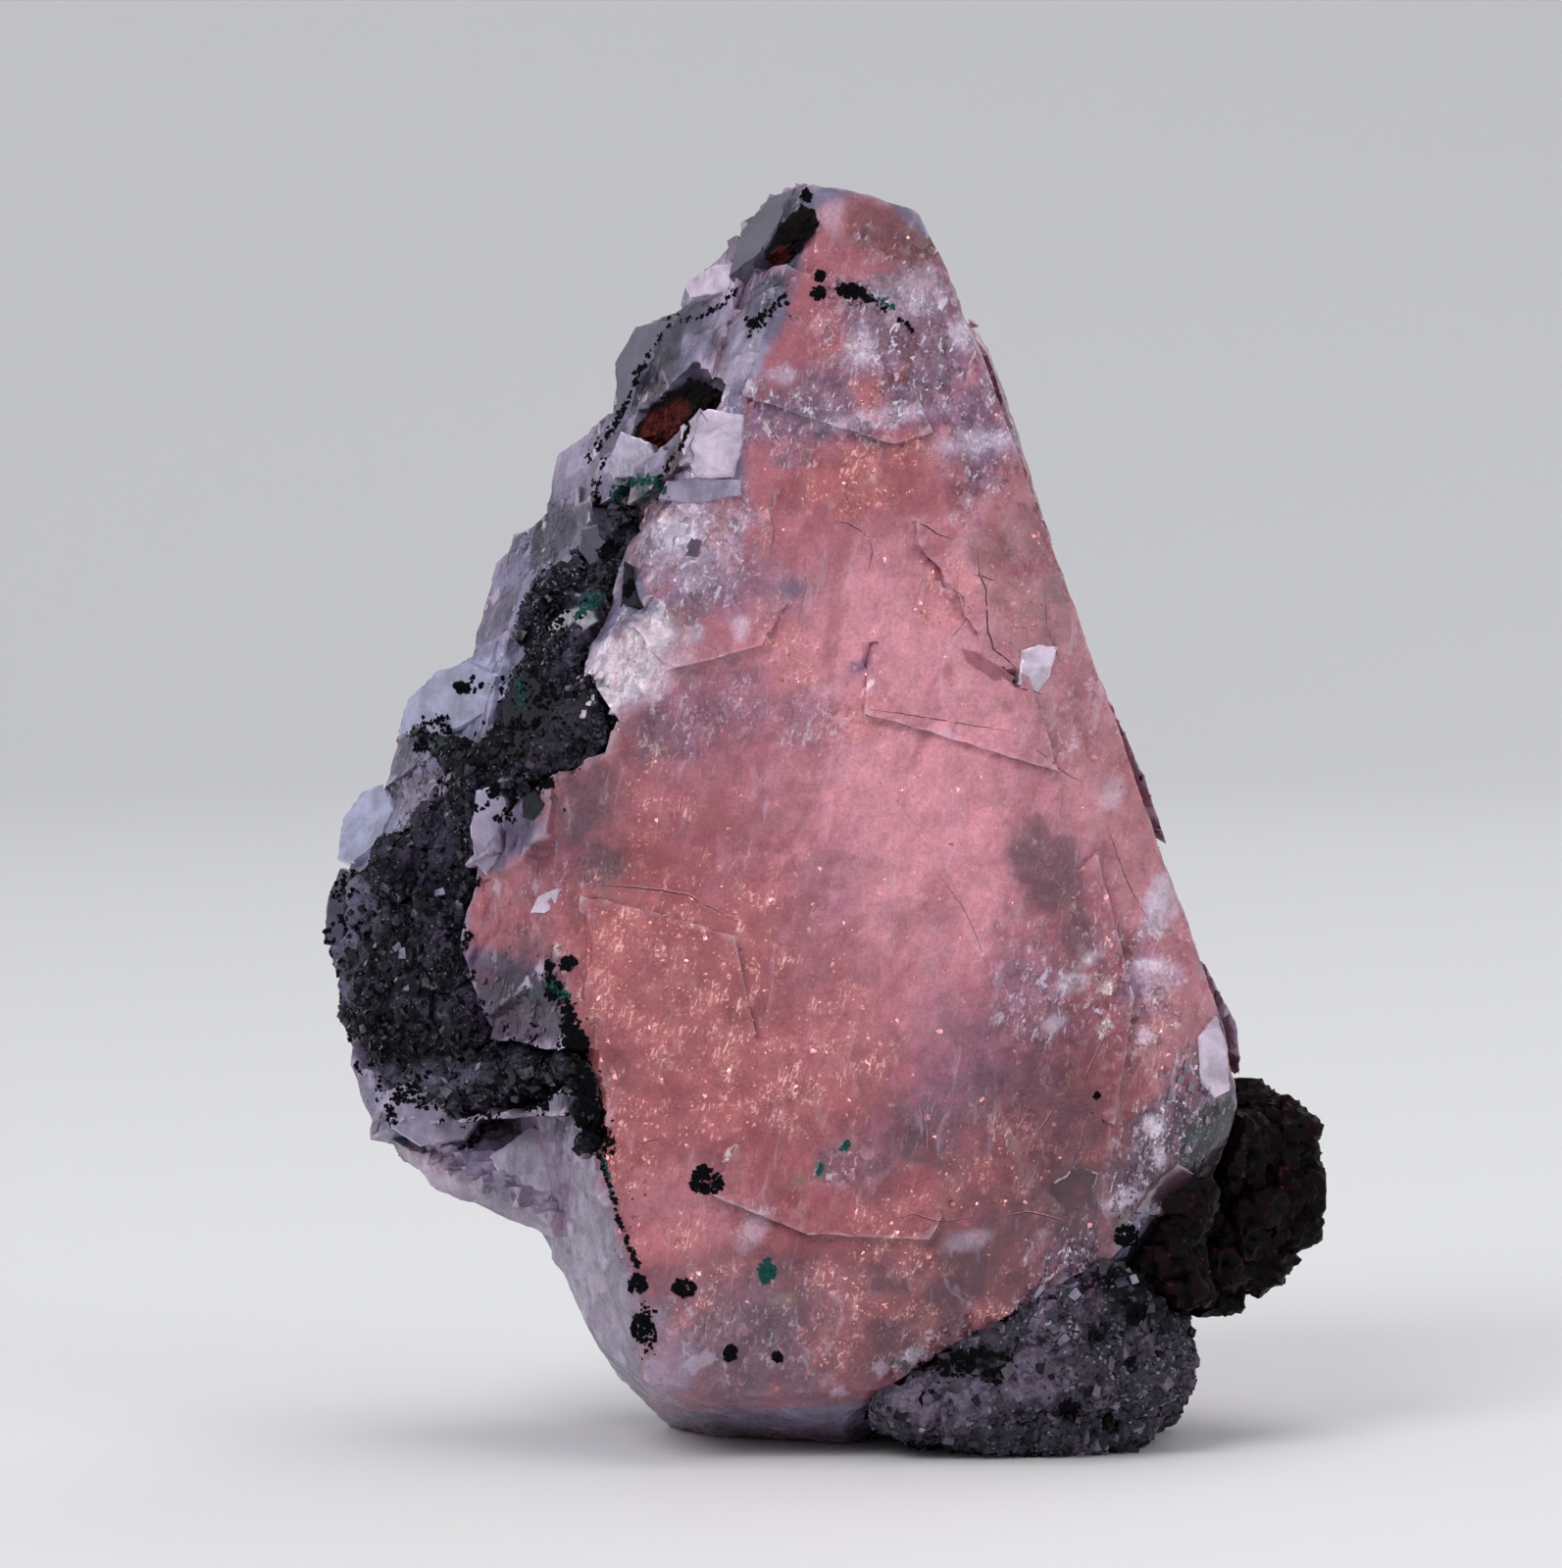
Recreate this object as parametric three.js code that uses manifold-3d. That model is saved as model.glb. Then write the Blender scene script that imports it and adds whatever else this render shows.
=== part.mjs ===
// Native copper in calcite: a translucent calcite crystal on a foot of grey rock, with a sponge of copper at one corner.
// Millimetres, +Z up. The origin is on the flat broken base, under the tip, and -Y is the broad front face.
import * as THREE from "three";
import { ConvexGeometry } from "three/addons/geometries/ConvexGeometry.js";
import { mergeVertices } from "three/addons/utils/BufferGeometryUtils.js";
import Module from "manifold-3d";

const wasm = await Module();
wasm.setup();

// Driving dimensions
const TIP_Z = 50.9;
const FRONT_Y = -13.8; // where the front face would meet the base at x = 0
const FRONT_LEAN = 0.18; // how far the front face goes back for each millimetre of height
const FRONT_TURN = 0.12; // how far it goes back for each millimetre to the right
const FLANK_SLOPE = -1.45; // depth against width down the left flank
const FLANK_INWARD = [0.75, 0.6]; // the way into the stone from the left flank, in x and y
const CONTACT_GAP = 0.35; // clearance between minerals that touch
const BACK_STEP = 1.1; // most that a cleavage block stands out of the broken back
const FAR = 60; // reach of the blocks that only cut, well past the stone

// Calcite parts along three directions. Every block of the crystal is bounded by them.
const C_AXIS = new THREE.Vector3(-0.786, 0.259, 0.561).normalize();
const DOWN_EDGE = new THREE.Vector3(-0.234, -0.35, -0.909).normalize();
const THIRD_TURN = (2 * Math.PI) / 3;
const CLEAVAGE_EDGES = [0, 1, 2].map((k) => DOWN_EDGE.clone().applyAxisAngle(C_AXIS, k * THIRD_TURN));

// Closed solid of a geometry, with the vertices that its faces share merged.
function solidOf(geometry) {
  for (const name of ["normal", "uv"]) geometry.deleteAttribute(name);
  const merged = mergeVertices(geometry, 1e-4);
  return new wasm.Manifold(
    new wasm.Mesh({
      numProp: 3,
      vertProperties: new Float32Array(merged.attributes.position.array),
      triVerts: new Uint32Array(merged.index.array),
    }),
  );
}

const joined = (solids) => solids.reduce((all, next) => all.add(next));
const without = (solid, cuts) => cuts.reduce((left, cut) => left.subtract(cut), solid);

// The biggest body of a solid: crumbs that a cut sets loose fall away.
function mainBody(solid) {
  return solid.decompose().reduce((a, b) => (a.volume() > b.volume() ? a : b));
}

// Convex solid around points. With a growth, every point first moves that far away from the middle.
function hull(points, grow = 0) {
  const corners = points.map((p) => (p.isVector3 ? p.clone() : new THREE.Vector3(...p)));
  const middle = new THREE.Vector3();
  corners.forEach((p) => middle.addScaledVector(p, 1 / corners.length));
  corners.forEach((p) => p.addScaledVector(p.clone().sub(middle).normalize(), grow));
  return solidOf(new ConvexGeometry(corners));
}

// What is left of a solid on one side of the plane through three points, moved to that side by a shift.
function besidePlane(solid, points, shift = 0) {
  const plane = new THREE.Plane().setFromCoplanarPoints(...points.map((p) => new THREE.Vector3(...p)));
  return solid.trimByPlane(plane.normal.toArray(), shift - plane.constant);
}

// A place on the front face seen from the front, set back behind its plane.
const frontY = (x, z) => FRONT_Y + FRONT_TURN * x + FRONT_LEAN * z;
const onFront = ([x, z, back = 0]) => new THREE.Vector3(x, frontY(x, z) + back, z);

// The ridge between the front face and the left flank, from the foot to the tip.
const RIDGE = [[-7, 3.4, 1.4], [-7.4, 7.2], [-8.4, 10.4], [-9.4, 13], [-10.4, 18.5], [-10.9, 27.2], [-5.6, 37.5],
  [-3, 42.5], [-1.5, 46.9], [-0.6, 50.9, 0.9]];

function ridgeX(z) {
  const above = Math.max(1, RIDGE.findIndex((p) => p[1] > z));
  const [[x0, z0], [x1, z1]] = [RIDGE[above - 1], RIDGE[above]];
  return THREE.MathUtils.lerp(x0, x1, (z - z0) / (z1 - z0));
}

// A place on the left flank, seen from the front at x and z, and pushed into the stone by a depth.
function onFlank(x, z, depth = 0) {
  const edge = ridgeX(z);
  const [inX, inY] = FLANK_INWARD;
  return [x + depth * inX, frontY(edge, z) + FLANK_SLOPE * (x - edge) + depth * inY, z];
}

// A cleavage block: from its upper outer corner it runs down, across to the front, and back into the stone.
function block([x, y, z], down, across, deep) {
  const [e0, e1, e2] = CLEAVAGE_EDGES;
  const box = new THREE.BoxGeometry(1, 1, 1).translate(0.5, 0.5, 0.5);
  const lengths = [e0.clone().multiplyScalar(down), e1.clone().multiplyScalar(across), e2.clone().multiplyScalar(deep)];
  const place = new THREE.Matrix4().makeBasis(...lengths).setPosition(x, y, z);
  if (place.determinant() < 0) box.index.array.reverse();
  return solidOf(box.applyMatrix4(place));
}

const blocks = (places) => places.map((place) => block(...place));

// A rough grain or nodule: an icosahedron whose corners are pushed in and out by waves that differ from grain to grain.
const SWELL_ACROSS = 0.15; // share of the radius that the waves across a grain add or take away
const SWELL_UP = 0.12; // share that the waves up and down it add or take away
const SWELL_WAVES = new THREE.Vector3(4.1, 3.7, 5.3);
const SWELL_SHIFTS = new THREE.Vector3(2.3, 1.9, 3.1);

function lump([x, y, z], [rx, ry, rz], detail = 1) {
  const shape = new THREE.IcosahedronGeometry(1, detail);
  const corners = shape.attributes.position;
  const corner = new THREE.Vector3();
  for (let i = 0; i < corners.count; i++) {
    corner.fromBufferAttribute(corners, i);
    const wave = corner.clone().multiply(SWELL_WAVES);
    const across = Math.sin(wave.x + SWELL_SHIFTS.x * x) * Math.cos(wave.y - SWELL_SHIFTS.y * z);
    const up = Math.sin(wave.z + SWELL_SHIFTS.z * (x + z));
    corner.multiplyScalar(1 + SWELL_ACROSS * across + SWELL_UP * up);
    corners.setXYZ(i, x + corner.x * rx, y + corner.y * ry, z + corner.z * rz);
  }
  return solidOf(shape);
}

// Everything above the surface that the stone stands on, and below its highest point.
const standing = solidOf(new THREE.BoxGeometry(2 * FAR, 2 * FAR, TIP_Z).translate(0, 0, TIP_Z / 2));

// The corner that the crystal lacks low on the right, where grey rock and copper grew instead.
const CORNER_FLOOR = [[1.2, -12, 2.5], [4.6, 3, -0.4], [11, -11, 8.2]];
const CORNER_WALL = [[11, -11, 8.2], [15.6, 6, 3.6], [16.6, -9.4, 14.6]];

function lostCorner(grow) {
  const bulk = solidOf(new THREE.BoxGeometry(2 * FAR, 2 * FAR, 2 * FAR));
  return joined([CORNER_FLOOR, CORNER_WALL].map((plane) => besidePlane(bulk, plane, grow)));
}

// The broad crystal: front face with bevels at the tip, right edge and foot, right side, rough back and flat base.
function crystalCore(grow = 0) {
  const front = [...RIDGE, [2.4, 46.2], [6.2, 37], [9.6, 28], [12.7, 18.5], [13.4, 14], [10.8, 10.4], [4, 7.6],
    [1.2, 50.6, 1], [3.9, 49.8, 1.2], [5.5, 46.6, 1.2], [9, 36.9, 1], [13.2, 25.1, 1], [16.1, 17, 1.2], [16.6, 14, 1.6], [12, 7.5, 1.8],
    [9.5, 3.2, 2.4], [1, 3.2, 1.9], [-2.6, 2.7, 1.9], [-6.2, 2.9, 1.9]].map(onFront);
  const leftSide = [[-2.2, 0.4, 50.4], [-6.4, 2, 45], [-9.6, 3, 39.2], [-13, 3.5, 33], [-15.3, 3.5, 27], [-15.2, 3, 20],
    [-12.4, -2, 10.4], [-9.7, -8.4, 7], [-9, -8.6, 4.4], [-8.2, -4, 2.6]];
  const rightSide = [[5.4, 1.5, 46], [9.4, 6, 35.6], [12.9, 8, 26.2], [16.2, 8.5, 15.5], [14.8, 8, 6]];
  const back = [[0, 4, 48.6], [-6.5, 8.6, 40], [-11, 10.2, 30], [-12.5, 10, 20], [-3, 12.2, 31], [4.5, 12.4, 27],
    [8, 12, 12], [-7, 11, 8], [11.5, 9.5, 3]];
  const base = [[-4.4, -2, 0], [0, -4.4, 0], [5, -6.4, 0], [12.5, -3, 0], [12, 6, 0], [4, 9.5, 0], [-5, 7.6, 0], [-6.2, 2, 0]];
  return hull([...front, ...leftSide, ...rightSide, ...back, ...base], grow).subtract(lostCorner(grow));
}

// The swelling low on the left, down to the thin overhanging lip.
function lowerBulge() {
  const outside = [[-15.5, 3, 30.2], [-18.3, 2.6, 25.4], [-20.1, 2, 20.8], [-20.2, 1.4, 18.4], [-19.4, 1, 15.2],
    [-18.2, -0.4, 12.4], [-17, 5, 14], [-17.5, 6.5, 22], [-14, 7.5, 29]];
  const inside = [[-8, -2, 30], [-7, -2, 14], [-7, 6, 14], [-7, 7, 28]];
  const face = [[-10.9, 27.2], [-10.4, 18.5], [-9.6, 14]].map(onFront);
  return hull([...outside, ...inside, ...face]);
}

// Thin layers of calcite one over another make the lip: outer and inner end of each one's edge.
const LIP_LAYERS = [
  [[-18.2, -0.6, 12.9], [-12.6, -6.2, 10.9]],
  [[-17.6, -1.4, 12.1], [-12, -7, 10.2]],
  [[-16.4, -2.8, 11.3], [-11.2, -7.8, 9.6]],
];
const LIP_OUTER_RUN = new THREE.Vector3(6, 5, 1); // how a layer runs into the stone from its outer end
const LIP_INNER_RUN = new THREE.Vector3(6, 1, 1);
const LIP_BEVEL = new THREE.Vector3(0.5, 0.4, -1); // from a layer's upper side to its lower side

function lipLayer(ends) {
  const [outer, inner] = ends.map((p) => new THREE.Vector3(...p));
  const top = [outer, inner, outer.clone().add(LIP_OUTER_RUN), inner.clone().add(LIP_INNER_RUN)];
  return hull([...top, ...top.map((p) => p.clone().add(LIP_BEVEL))]);
}

// Stepped cleavage blocks down the left flank: upper outer corner, then lengths down, across and deep.
const FLANK_BLOCKS = [
  [[-3.3, 0.8, 49.4], 2.6, 2.4, 3],
  [[-3.9, 1.2, 48.3], 6, 4.2, 5],
  [[-5.6, 1.2, 46.8], 3.2, 4.6, 5],
  [[-7.9, 2.2, 44.6], 6.5, 8, 6],
  [[-9.3, 1.4, 41.2], 3.4, 3.6, 5],
  [[-10.7, 2.6, 39.9], 4.2, 6.5, 5],
  [[-12.6, 2.8, 36.6], 3.2, 5, 5],
  [[-13.4, 3.2, 35.4], 7.5, 7.5, 6],
  [[-16.1, 3.2, 30.4], 5.2, 6, 5],
  [[-17.4, 2.6, 28.6], 2.6, 4, 4],
  [[-18.4, 2.6, 25.9], 4.2, 5, 5],
  [[-19.9, 1.6, 22.4], 3.4, 4.2, 4],
  [[-17.9, -1.2, 13.9], 2, 6.4, 4],
];

// Smaller crystals that stand out of the flank and ridge.
const FLANK_CRYSTALS = [
  [[-6.1, -4.9, 41.5], 3, 2.4, 3],
  [[-7.4, -4.4, 39.6], 1.8, 1.8, 2],
  [[-13.6, -5.8, 26.7], 3.6, 2.2, 3],
  [[-9.7, -3.2, 37.4], 1.8, 1.6, 2],
  [[-11.2, -6.8, 27.4], 2.2, 2, 2],
  [[-2.9, -2.7, 45.8], 2.6, 1.6, 2],
];

// Broken steps on the back, where the crystal came away from its vein.
const BACK_BLOCKS = [
  [[-3, 5.4, 46], 8, 5, 6], [[2.4, 5, 43.5], 7, 5, 6], [[-9, 7, 39], 7, 6, 6], [[-1.4, 9, 38], 9, 6, 6],
  [[5.4, 8, 37], 7, 5, 6], [[-7.6, 9.4, 31], 10, 5, 7], [[0.8, 11, 28.6], 8, 7, 6], [[8.6, 10, 27], 9, 5, 6],
  [[-12.6, 8.6, 24], 8, 5, 6], [[-4.4, 10.4, 20.6], 7, 6, 6], [[4, 12, 18.6], 8, 6, 6], [[11.4, 9, 17.4], 8, 5, 5],
  [[-10.4, 9.4, 14.4], 7, 5, 5], [[-1.6, 10.6, 12], 6, 6, 6], [[6.4, 10.6, 9.6], 6, 5, 5],
];

// Notches where blocks have fallen away from the right side and the back.
const FALLEN_BLOCKS = [
  [[6.6, 9.4, 41.4], 5, 3, 4],
  [[11.4, 11.4, 24.4], 6, 4, 4],
  [[-6.2, 11.2, 24.8], 6, 3, 4],
  [[-12.8, 9.8, 17.6], 5, 3, 4],
];

// Cleavage steps on the front: outline as seen from the front, and how far each corner stands out.
const FRONT_STEPS = [
  [[1.7, 29.7, 0.4], [4.5, 29.2, 0.5], [7.7, 28.7, 0.5], [9.4, 27.4, 0.4], [7.4, 34, 0], [2.2, 36.4, 0]],
  [[3.5, 37.3, 0.35], [5.4, 36.5, 0.4], [6.5, 32.4, 0.45], [7.6, 30.8, 0.4], [8.6, 30.2, 0], [5.9, 38, 0]],
  [[-9.6, 22.5, 0.45], [-6.6, 21.9, 0.5], [-3.5, 20.9, 0.4], [-2, 14, 0], [-8.9, 12.9, 0]],
  [[11, 24, 0.35], [12.4, 18.4, 0.4], [11.6, 13.4, 0.35], [7.6, 15.4, 0], [8, 22.4, 0]],
  [[-3.4, 42.4, 0.3], [-0.4, 41.6, 0.4], [2.9, 40.4, 0.4], [4.4, 40.9, 0.3], [2.4, 45.6, 0], [-1.6, 46, 0]],
  [[-7.6, 33.4, 0.3], [-6.2, 31.4, 0.45], [-2.4, 32.4, 0.45], [-0.6, 35.4, 0], [-4, 38, 0]],
  [[-4.6, 10.9, 0.45], [-0.6, 9.2, 0.5], [4.2, 9, 0.4], [6, 12, 0], [-2, 14.6, 0]],
];
const STEP_ROOT = 0.8; // how deep a step is rooted in the crystal

function frontStep(outline) {
  const roots = outline.map(([x, z]) => onFront([x, z, STEP_ROOT]));
  return hull([...roots, ...outline.map(([x, z, raise]) => onFront([x, z, -raise]))]);
}

// Chips that stand a little proud of the straight right edge, and one that has left the front.
function rightChips() {
  const long = [[6.1, 1, 46.2], [6.4, 4, 45.6], [8.1, 1, 39.9], [9.4, 2, 36.4], [9.4, 7, 36], [5, 3, 44], [7, 4, 36]];
  const short = [[11.6, -2, 30.2], [13.2, -1, 26.6], [14.1, 1, 24], [13.4, 6, 24.4], [11.2, 5, 29.8], [9, 1, 27]];
  const low = [[15.4, -4, 19.6], [16.7, -5, 17], [16.9, -4, 14.9], [16, 1, 15], [15, 1, 19], [13, -2, 17]];
  return [hull(long), hull(short), hull(low)];
}
const LOST_CHIP = [[5.9, 32.1], [8, 31.9], [8.1, 30.2]];

function lostChip() {
  const rim = LOST_CHIP.map(([x, z]) => onFront([x, z, -1]));
  return hull([...rim, onFront([7.6, 31, 0.6])]);
}

// A hollow under the front edge, between the crystal's foot and the grey rock.
const UNDERCUT = [[-1.6, -FAR, 0], [4.4, -FAR, 0], [1.7, -FAR, 2.6], [-0.6, -FAR, 2.6], [-0.4, -4, 0.2], [1.4, -4, 0.2]];

// Dark rock fills a trench down the left flank: x and z as seen from the front, half width and depth.
const TRENCH = [
  [[-7.9, 38.2, 0.7, 0.9], [-9, 35.6, 1.5, 1.6], [-10.7, 32.6, 2.1, 2], [-10.9, 29.4, 2.2, 2.2], [-13.4, 26.8, 1.7, 2],
    [-15.4, 24.2, 2.2, 2.2], [-17.3, 20.4, 3.4, 2.8], [-16.4, 17, 3.9, 2.8], [-15, 14.8, 2.2, 2.2], [-11.8, 15.4, 1.6, 1.4]],
  [[-13.4, 26.8, 1.5, 1.6], [-16.3, 28.4, 0.8, 0.9]],
  [[-11.8, 15.2, 1.2, 1.2], [-9.9, 16, 0.8, 0.9], [-9.4, 12.6, 0.7, 0.8]],
];
const TRENCH_SIDES = 7;
const TRENCH_NARROWING = 0.72; // width of its floor against its mouth
const TRENCH_MOUTH = -4; // depth at which the cutter ends, clear of the stone
const BED_DEPTH = 0.4; // how far the rock between the grains lies below the flank

function trenchRing([x, z, halfWidth], depth, width) {
  return Array.from({ length: TRENCH_SIDES }, (_, k) => {
    const turn = (2 * Math.PI * k) / TRENCH_SIDES;
    return onFlank(x + width * halfWidth * Math.cos(turn), z + width * halfWidth * Math.sin(turn), depth);
  });
}

// The trench from a depth near its mouth down to its floor, smaller all round by an inset.
function trench(mouth, inset) {
  const ends = ([x, z, halfWidth, depth]) => {
    const station = [x, z, halfWidth - inset];
    return [...trenchRing(station, mouth, 1), ...trenchRing(station, depth - inset, TRENCH_NARROWING)];
  };
  const lengths = TRENCH.flatMap((branch) => branch.slice(1).map((end, i) => hull([...ends(branch[i]), ...ends(end)])));
  return joined(lengths);
}

// Grains of the dark rock: x and z as seen from the front, and a radius.
const CHLORITE_GRAINS = [
  [-7.9, 38.2, 0.6], [-8.5, 36.8, 1], [-9.8, 36, 1.1], [-8.4, 35, 1], [-10.4, 34.4, 1.3], [-8.9, 33.6, 1.2],
  [-11.7, 32.6, 1.2], [-10, 32, 1.5], [-9.2, 30.9, 1], [-11.4, 30.6, 1.3], [-9.8, 29.2, 1.2], [-12.2, 28.9, 1.2],
  [-10.8, 27.9, 1.1], [-13.6, 27.3, 1.2], [-15, 28, 0.7], [-16.4, 28.5, 0.7], [-12.6, 26.4, 0.9], [-14.4, 25.6, 1.1],
  [-15.8, 25.2, 1], [-14.8, 23.8, 1.2], [-17, 23.2, 1.4], [-15.2, 21.9, 1.4], [-18.2, 21.7, 1.2], [-16.8, 20.3, 1.5],
  [-19.2, 19.9, 1.2], [-14.8, 19.6, 1.4], [-18, 18.4, 1.5], [-16.1, 17.9, 1.4], [-19.2, 17.2, 1.2], [-14, 17.4, 1.4],
  [-17.4, 15.8, 1.4], [-15.5, 15.6, 1.4], [-13.2, 15.2, 1.2], [-11.8, 15.8, 1], [-14.8, 13.6, 1.1], [-16.8, 13.9, 1.1],
  [-12.4, 17.6, 0.9], [-10.2, 15.9, 0.7], [-9.6, 14.2, 0.7], [-9.4, 12.7, 0.6],
];
const BIG_GRAIN = 1.45; // radius from which a grain gets more faces
// A slab of slate that stands on edge in the dark rock.
const SLATE = [[-12.4, 31, 0], [-9.6, 29.3, -1], [-9.4, 28.2, -1.2], [-12.6, 27.2, -0.4], [-11.4, 29, 1.6], [-10.6, 28.6, 1.6]];

function chloriteRock() {
  const grains = CHLORITE_GRAINS.map(([x, z, r]) => lump(onFlank(x, z, 0.2), [r, 0.9 * r, r], r > BIG_GRAIN ? 1 : 0));
  const slate = hull(SLATE.map((p) => onFlank(...p)));
  const bed = trench(BED_DEPTH, CONTACT_GAP);
  return joined([...grains, slate, bed]).intersect(trench(TRENCH_MOUTH, 1.3 * CONTACT_GAP));
}

// The plane that parts the grey rock, below, from the sponge of copper, above.
const ROCK_AND_COPPER = [[11.4, -11, 8.4], [15, -11, 4.4], [11.4, 11, 8.4]];

// Grey granular rock under the crystal's lower right corner: its mass, then its grains with centre and radii.
const FOOT_MASS = [[1.4, -11.3, 2.5], [4, -11.5, 3.6], [8, -11.2, 5.6], [11, -10.6, 8.2], [13.6, -8.8, 7.6], [14.6, -6, 4.6],
  [13.8, -5, 1.6], [12.6, -3, 0], [12.4, 4, 0], [14.4, 3, 5], [2.2, -9.4, 1.4], [6.4, -9.2, 0.4], [9.4, -8.4, 0],
  [12, -6.4, 0], [3.4, 1, 0], [9, 0, 8], [12.6, -10, 4]];
const FOOT_GRAINS = [
  [[3.4, -10.6, 2.2], [1.5, 1.1, 0.8]], [[5.8, -10.8, 2.4], [1.4, 1.1, 1.2]], [[8, -10.7, 3.2], [1.5, 1.2, 1.4]],
  [[10.2, -10.4, 3.6], [1.5, 1.3, 1.5]], [[12.4, -9, 3.2], [1.4, 1.4, 1.5]], [[13.6, -6.8, 3.4], [1.2, 1.6, 1.5]],
  [[7.2, -9.6, 1.3], [1.5, 1.3, 0.9]], [[9.6, -9, 1.1], [1.5, 1.4, 1]], [[11.8, -7.6, 1.1], [1.3, 1.4, 1]],
  [[9.4, -10.8, 5.6], [1.3, 1, 1.1]], [[11.6, -10.2, 6], [1.3, 1.1, 1.2]], [[13.5, -8.2, 5.4], [1, 1.2, 1]],
  [[10.9, -10.4, 7.6], [0.8, 0.9, 0.8]], [[6.6, -11.2, 4.2], [1, 0.7, 0.8]], [[13.4, -3.8, 1.6], [1.1, 1.5, 1.3]],
  [[14.1, -2, 3.6], [1, 1.6, 1.2]], [[13.6, 0.4, 1.8], [1.1, 1.6, 1.4]], [[13.6, 3, 3], [1.2, 1.3, 1.5]],
];

function footRock() {
  const grains = FOOT_GRAINS.map(([centre, radii]) => lump(centre, radii, 1));
  const rock = joined([hull(FOOT_MASS), ...grains]).intersect(standing);
  return besidePlane(rock, [...ROCK_AND_COPPER].reverse(), CONTACT_GAP).intersect(lostCorner(CONTACT_GAP));
}

// Spongy native copper that sticks out behind the lower right corner: centre and radii.
const COPPER_LUMPS = [
  [[14.6, -3.4, 10], [2.2, 2.4, 2.2]], [[16.6, -2.9, 11.8], [2, 2, 2]], [[18.3, -2, 12.2], [1.7, 1.7, 1.7]],
  [[19.1, -1.6, 10.2], [1.5, 1.6, 1.9]], [[17, -2.8, 9.2], [2, 2, 1.8]], [[18.9, -1.2, 8.8], [1.3, 1.5, 1.1]],
  [[15.6, -3, 7.4], [2, 2.2, 1.9]], [[17.5, -1.6, 7.2], [1.5, 1.6, 1.2]], [[13.4, -6.6, 8.2], [2, 2.6, 1.6]],
  [[17.1, -1.2, 13.6], [1.2, 1.3, 0.9]], [[16, 0.8, 10.4], [2.2, 2.4, 2.6]], [[18, 1, 11], [1.6, 1.7, 1.7]],
  [[15.4, -2.4, 5.9], [1.4, 1.7, 1]], [[16.6, 2.2, 8.2], [1.6, 1.8, 1.6]], [[14.4, -7.4, 6.8], [1.1, 1.4, 1.1]],
  [[14.2, -7.4, 10.2], [1.5, 2, 1.6]], [[16, -5.4, 12.6], [1.2, 1.6, 1.4]],
];
const COPPER_PITS = [
  [[16.4, -5, 9.8], [0.9, 1.5, 0.8]], [[18.1, -4, 10.9], [0.6, 1.3, 0.7]], [[15.2, -5.6, 8.6], [0.8, 1.4, 0.6]],
  [[18.2, -3.4, 8.6], [0.6, 1.2, 0.5]], [[17, -5, 12.7], [0.6, 1.2, 0.6]], [[20.1, -1.2, 11.4], [0.7, 0.7, 0.6]],
  [[13.2, -9.2, 8.4], [0.7, 1, 0.5]],
];

function copperSponge() {
  const body = joined(COPPER_LUMPS.map(([centre, radii]) => lump(centre, radii)));
  const pitted = without(body, COPPER_PITS.map(([centre, radii]) => lump(centre, radii, 0)));
  return besidePlane(pitted, ROCK_AND_COPPER);
}

// A torn sheet of copper set on edge in the calcite: outline on the flank, and a thickness across it.
const SHEET_NORMAL = new THREE.Vector3(-0.62, -0.62, 0.48).normalize();
const SHEETS = [
  { outline: [[-7.3, 40.3], [-6.7, 41.7], [-4.9, 43], [-3.8, 42.4], [-4.4, 41.4], [-6, 40.5]], thickness: 1.6, sunk: -0.3 },
  { outline: [[-2.3, 47.6], [-1.7, 49.1], [-0.6, 50], [-0.1, 49.3], [-0.9, 48.2]], thickness: 1.3, sunk: -0.1 },
];

function copperSheet({ outline, thickness, sunk }, grow = 0) {
  const middle = outline.map((p) => onFlank(...p, sunk));
  const half = SHEET_NORMAL.clone().multiplyScalar(thickness / 2);
  const faces = [1, -1].flatMap((side) => middle.map((p) => new THREE.Vector3(...p).addScaledVector(half, side)));
  return hull(faces, 2 * grow);
}

// One grown-together crystal, cut clear of the minerals that it holds.
function calcite() {
  const backPlates = joined(blocks(BACK_BLOCKS)).intersect(crystalCore().translate(0, BACK_STEP, 0));
  const grown = joined([crystalCore(), backPlates, lowerBulge(), ...LIP_LAYERS.map(lipLayer), ...blocks(FLANK_BLOCKS),
    ...blocks(FLANK_CRYSTALS), ...FRONT_STEPS.map(frontStep), ...rightChips()]);
  const held = [lostCorner(0), trench(TRENCH_MOUTH, 0), ...SHEETS.map((sheet) => copperSheet(sheet, CONTACT_GAP))];
  const broken = [...blocks(FALLEN_BLOCKS), lostChip(), hull(UNDERCUT)];
  return mainBody(without(grown.intersect(standing), [...held, ...broken]));
}

const crystal = calcite();
const roomBesideCrystal = crystalCore(2 * CONTACT_GAP);
const sponge = mainBody(without(copperSponge(), [roomBesideCrystal]));
const foot = mainBody(footRock());
const chlorite = mainBody(chloriteRock());
const [upperSheet, tipSheet] = SHEETS.map((sheet) => mainBody(without(copperSheet(sheet), [trench(TRENCH_MOUTH, 0)])));

// A named mesh of a solid in its mineral's colour.
function meshOf(name, solid, material) {
  const { vertProperties, triVerts } = solid.getMesh();
  const geometry = new THREE.BufferGeometry();
  geometry.setAttribute("position", new THREE.BufferAttribute(new Float32Array(vertProperties), 3));
  geometry.setIndex(new THREE.BufferAttribute(new Uint32Array(triVerts), 1));
  geometry.computeVertexNormals();
  const mesh = new THREE.Mesh(geometry, material);
  mesh.name = name;
  return mesh;
}

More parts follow.
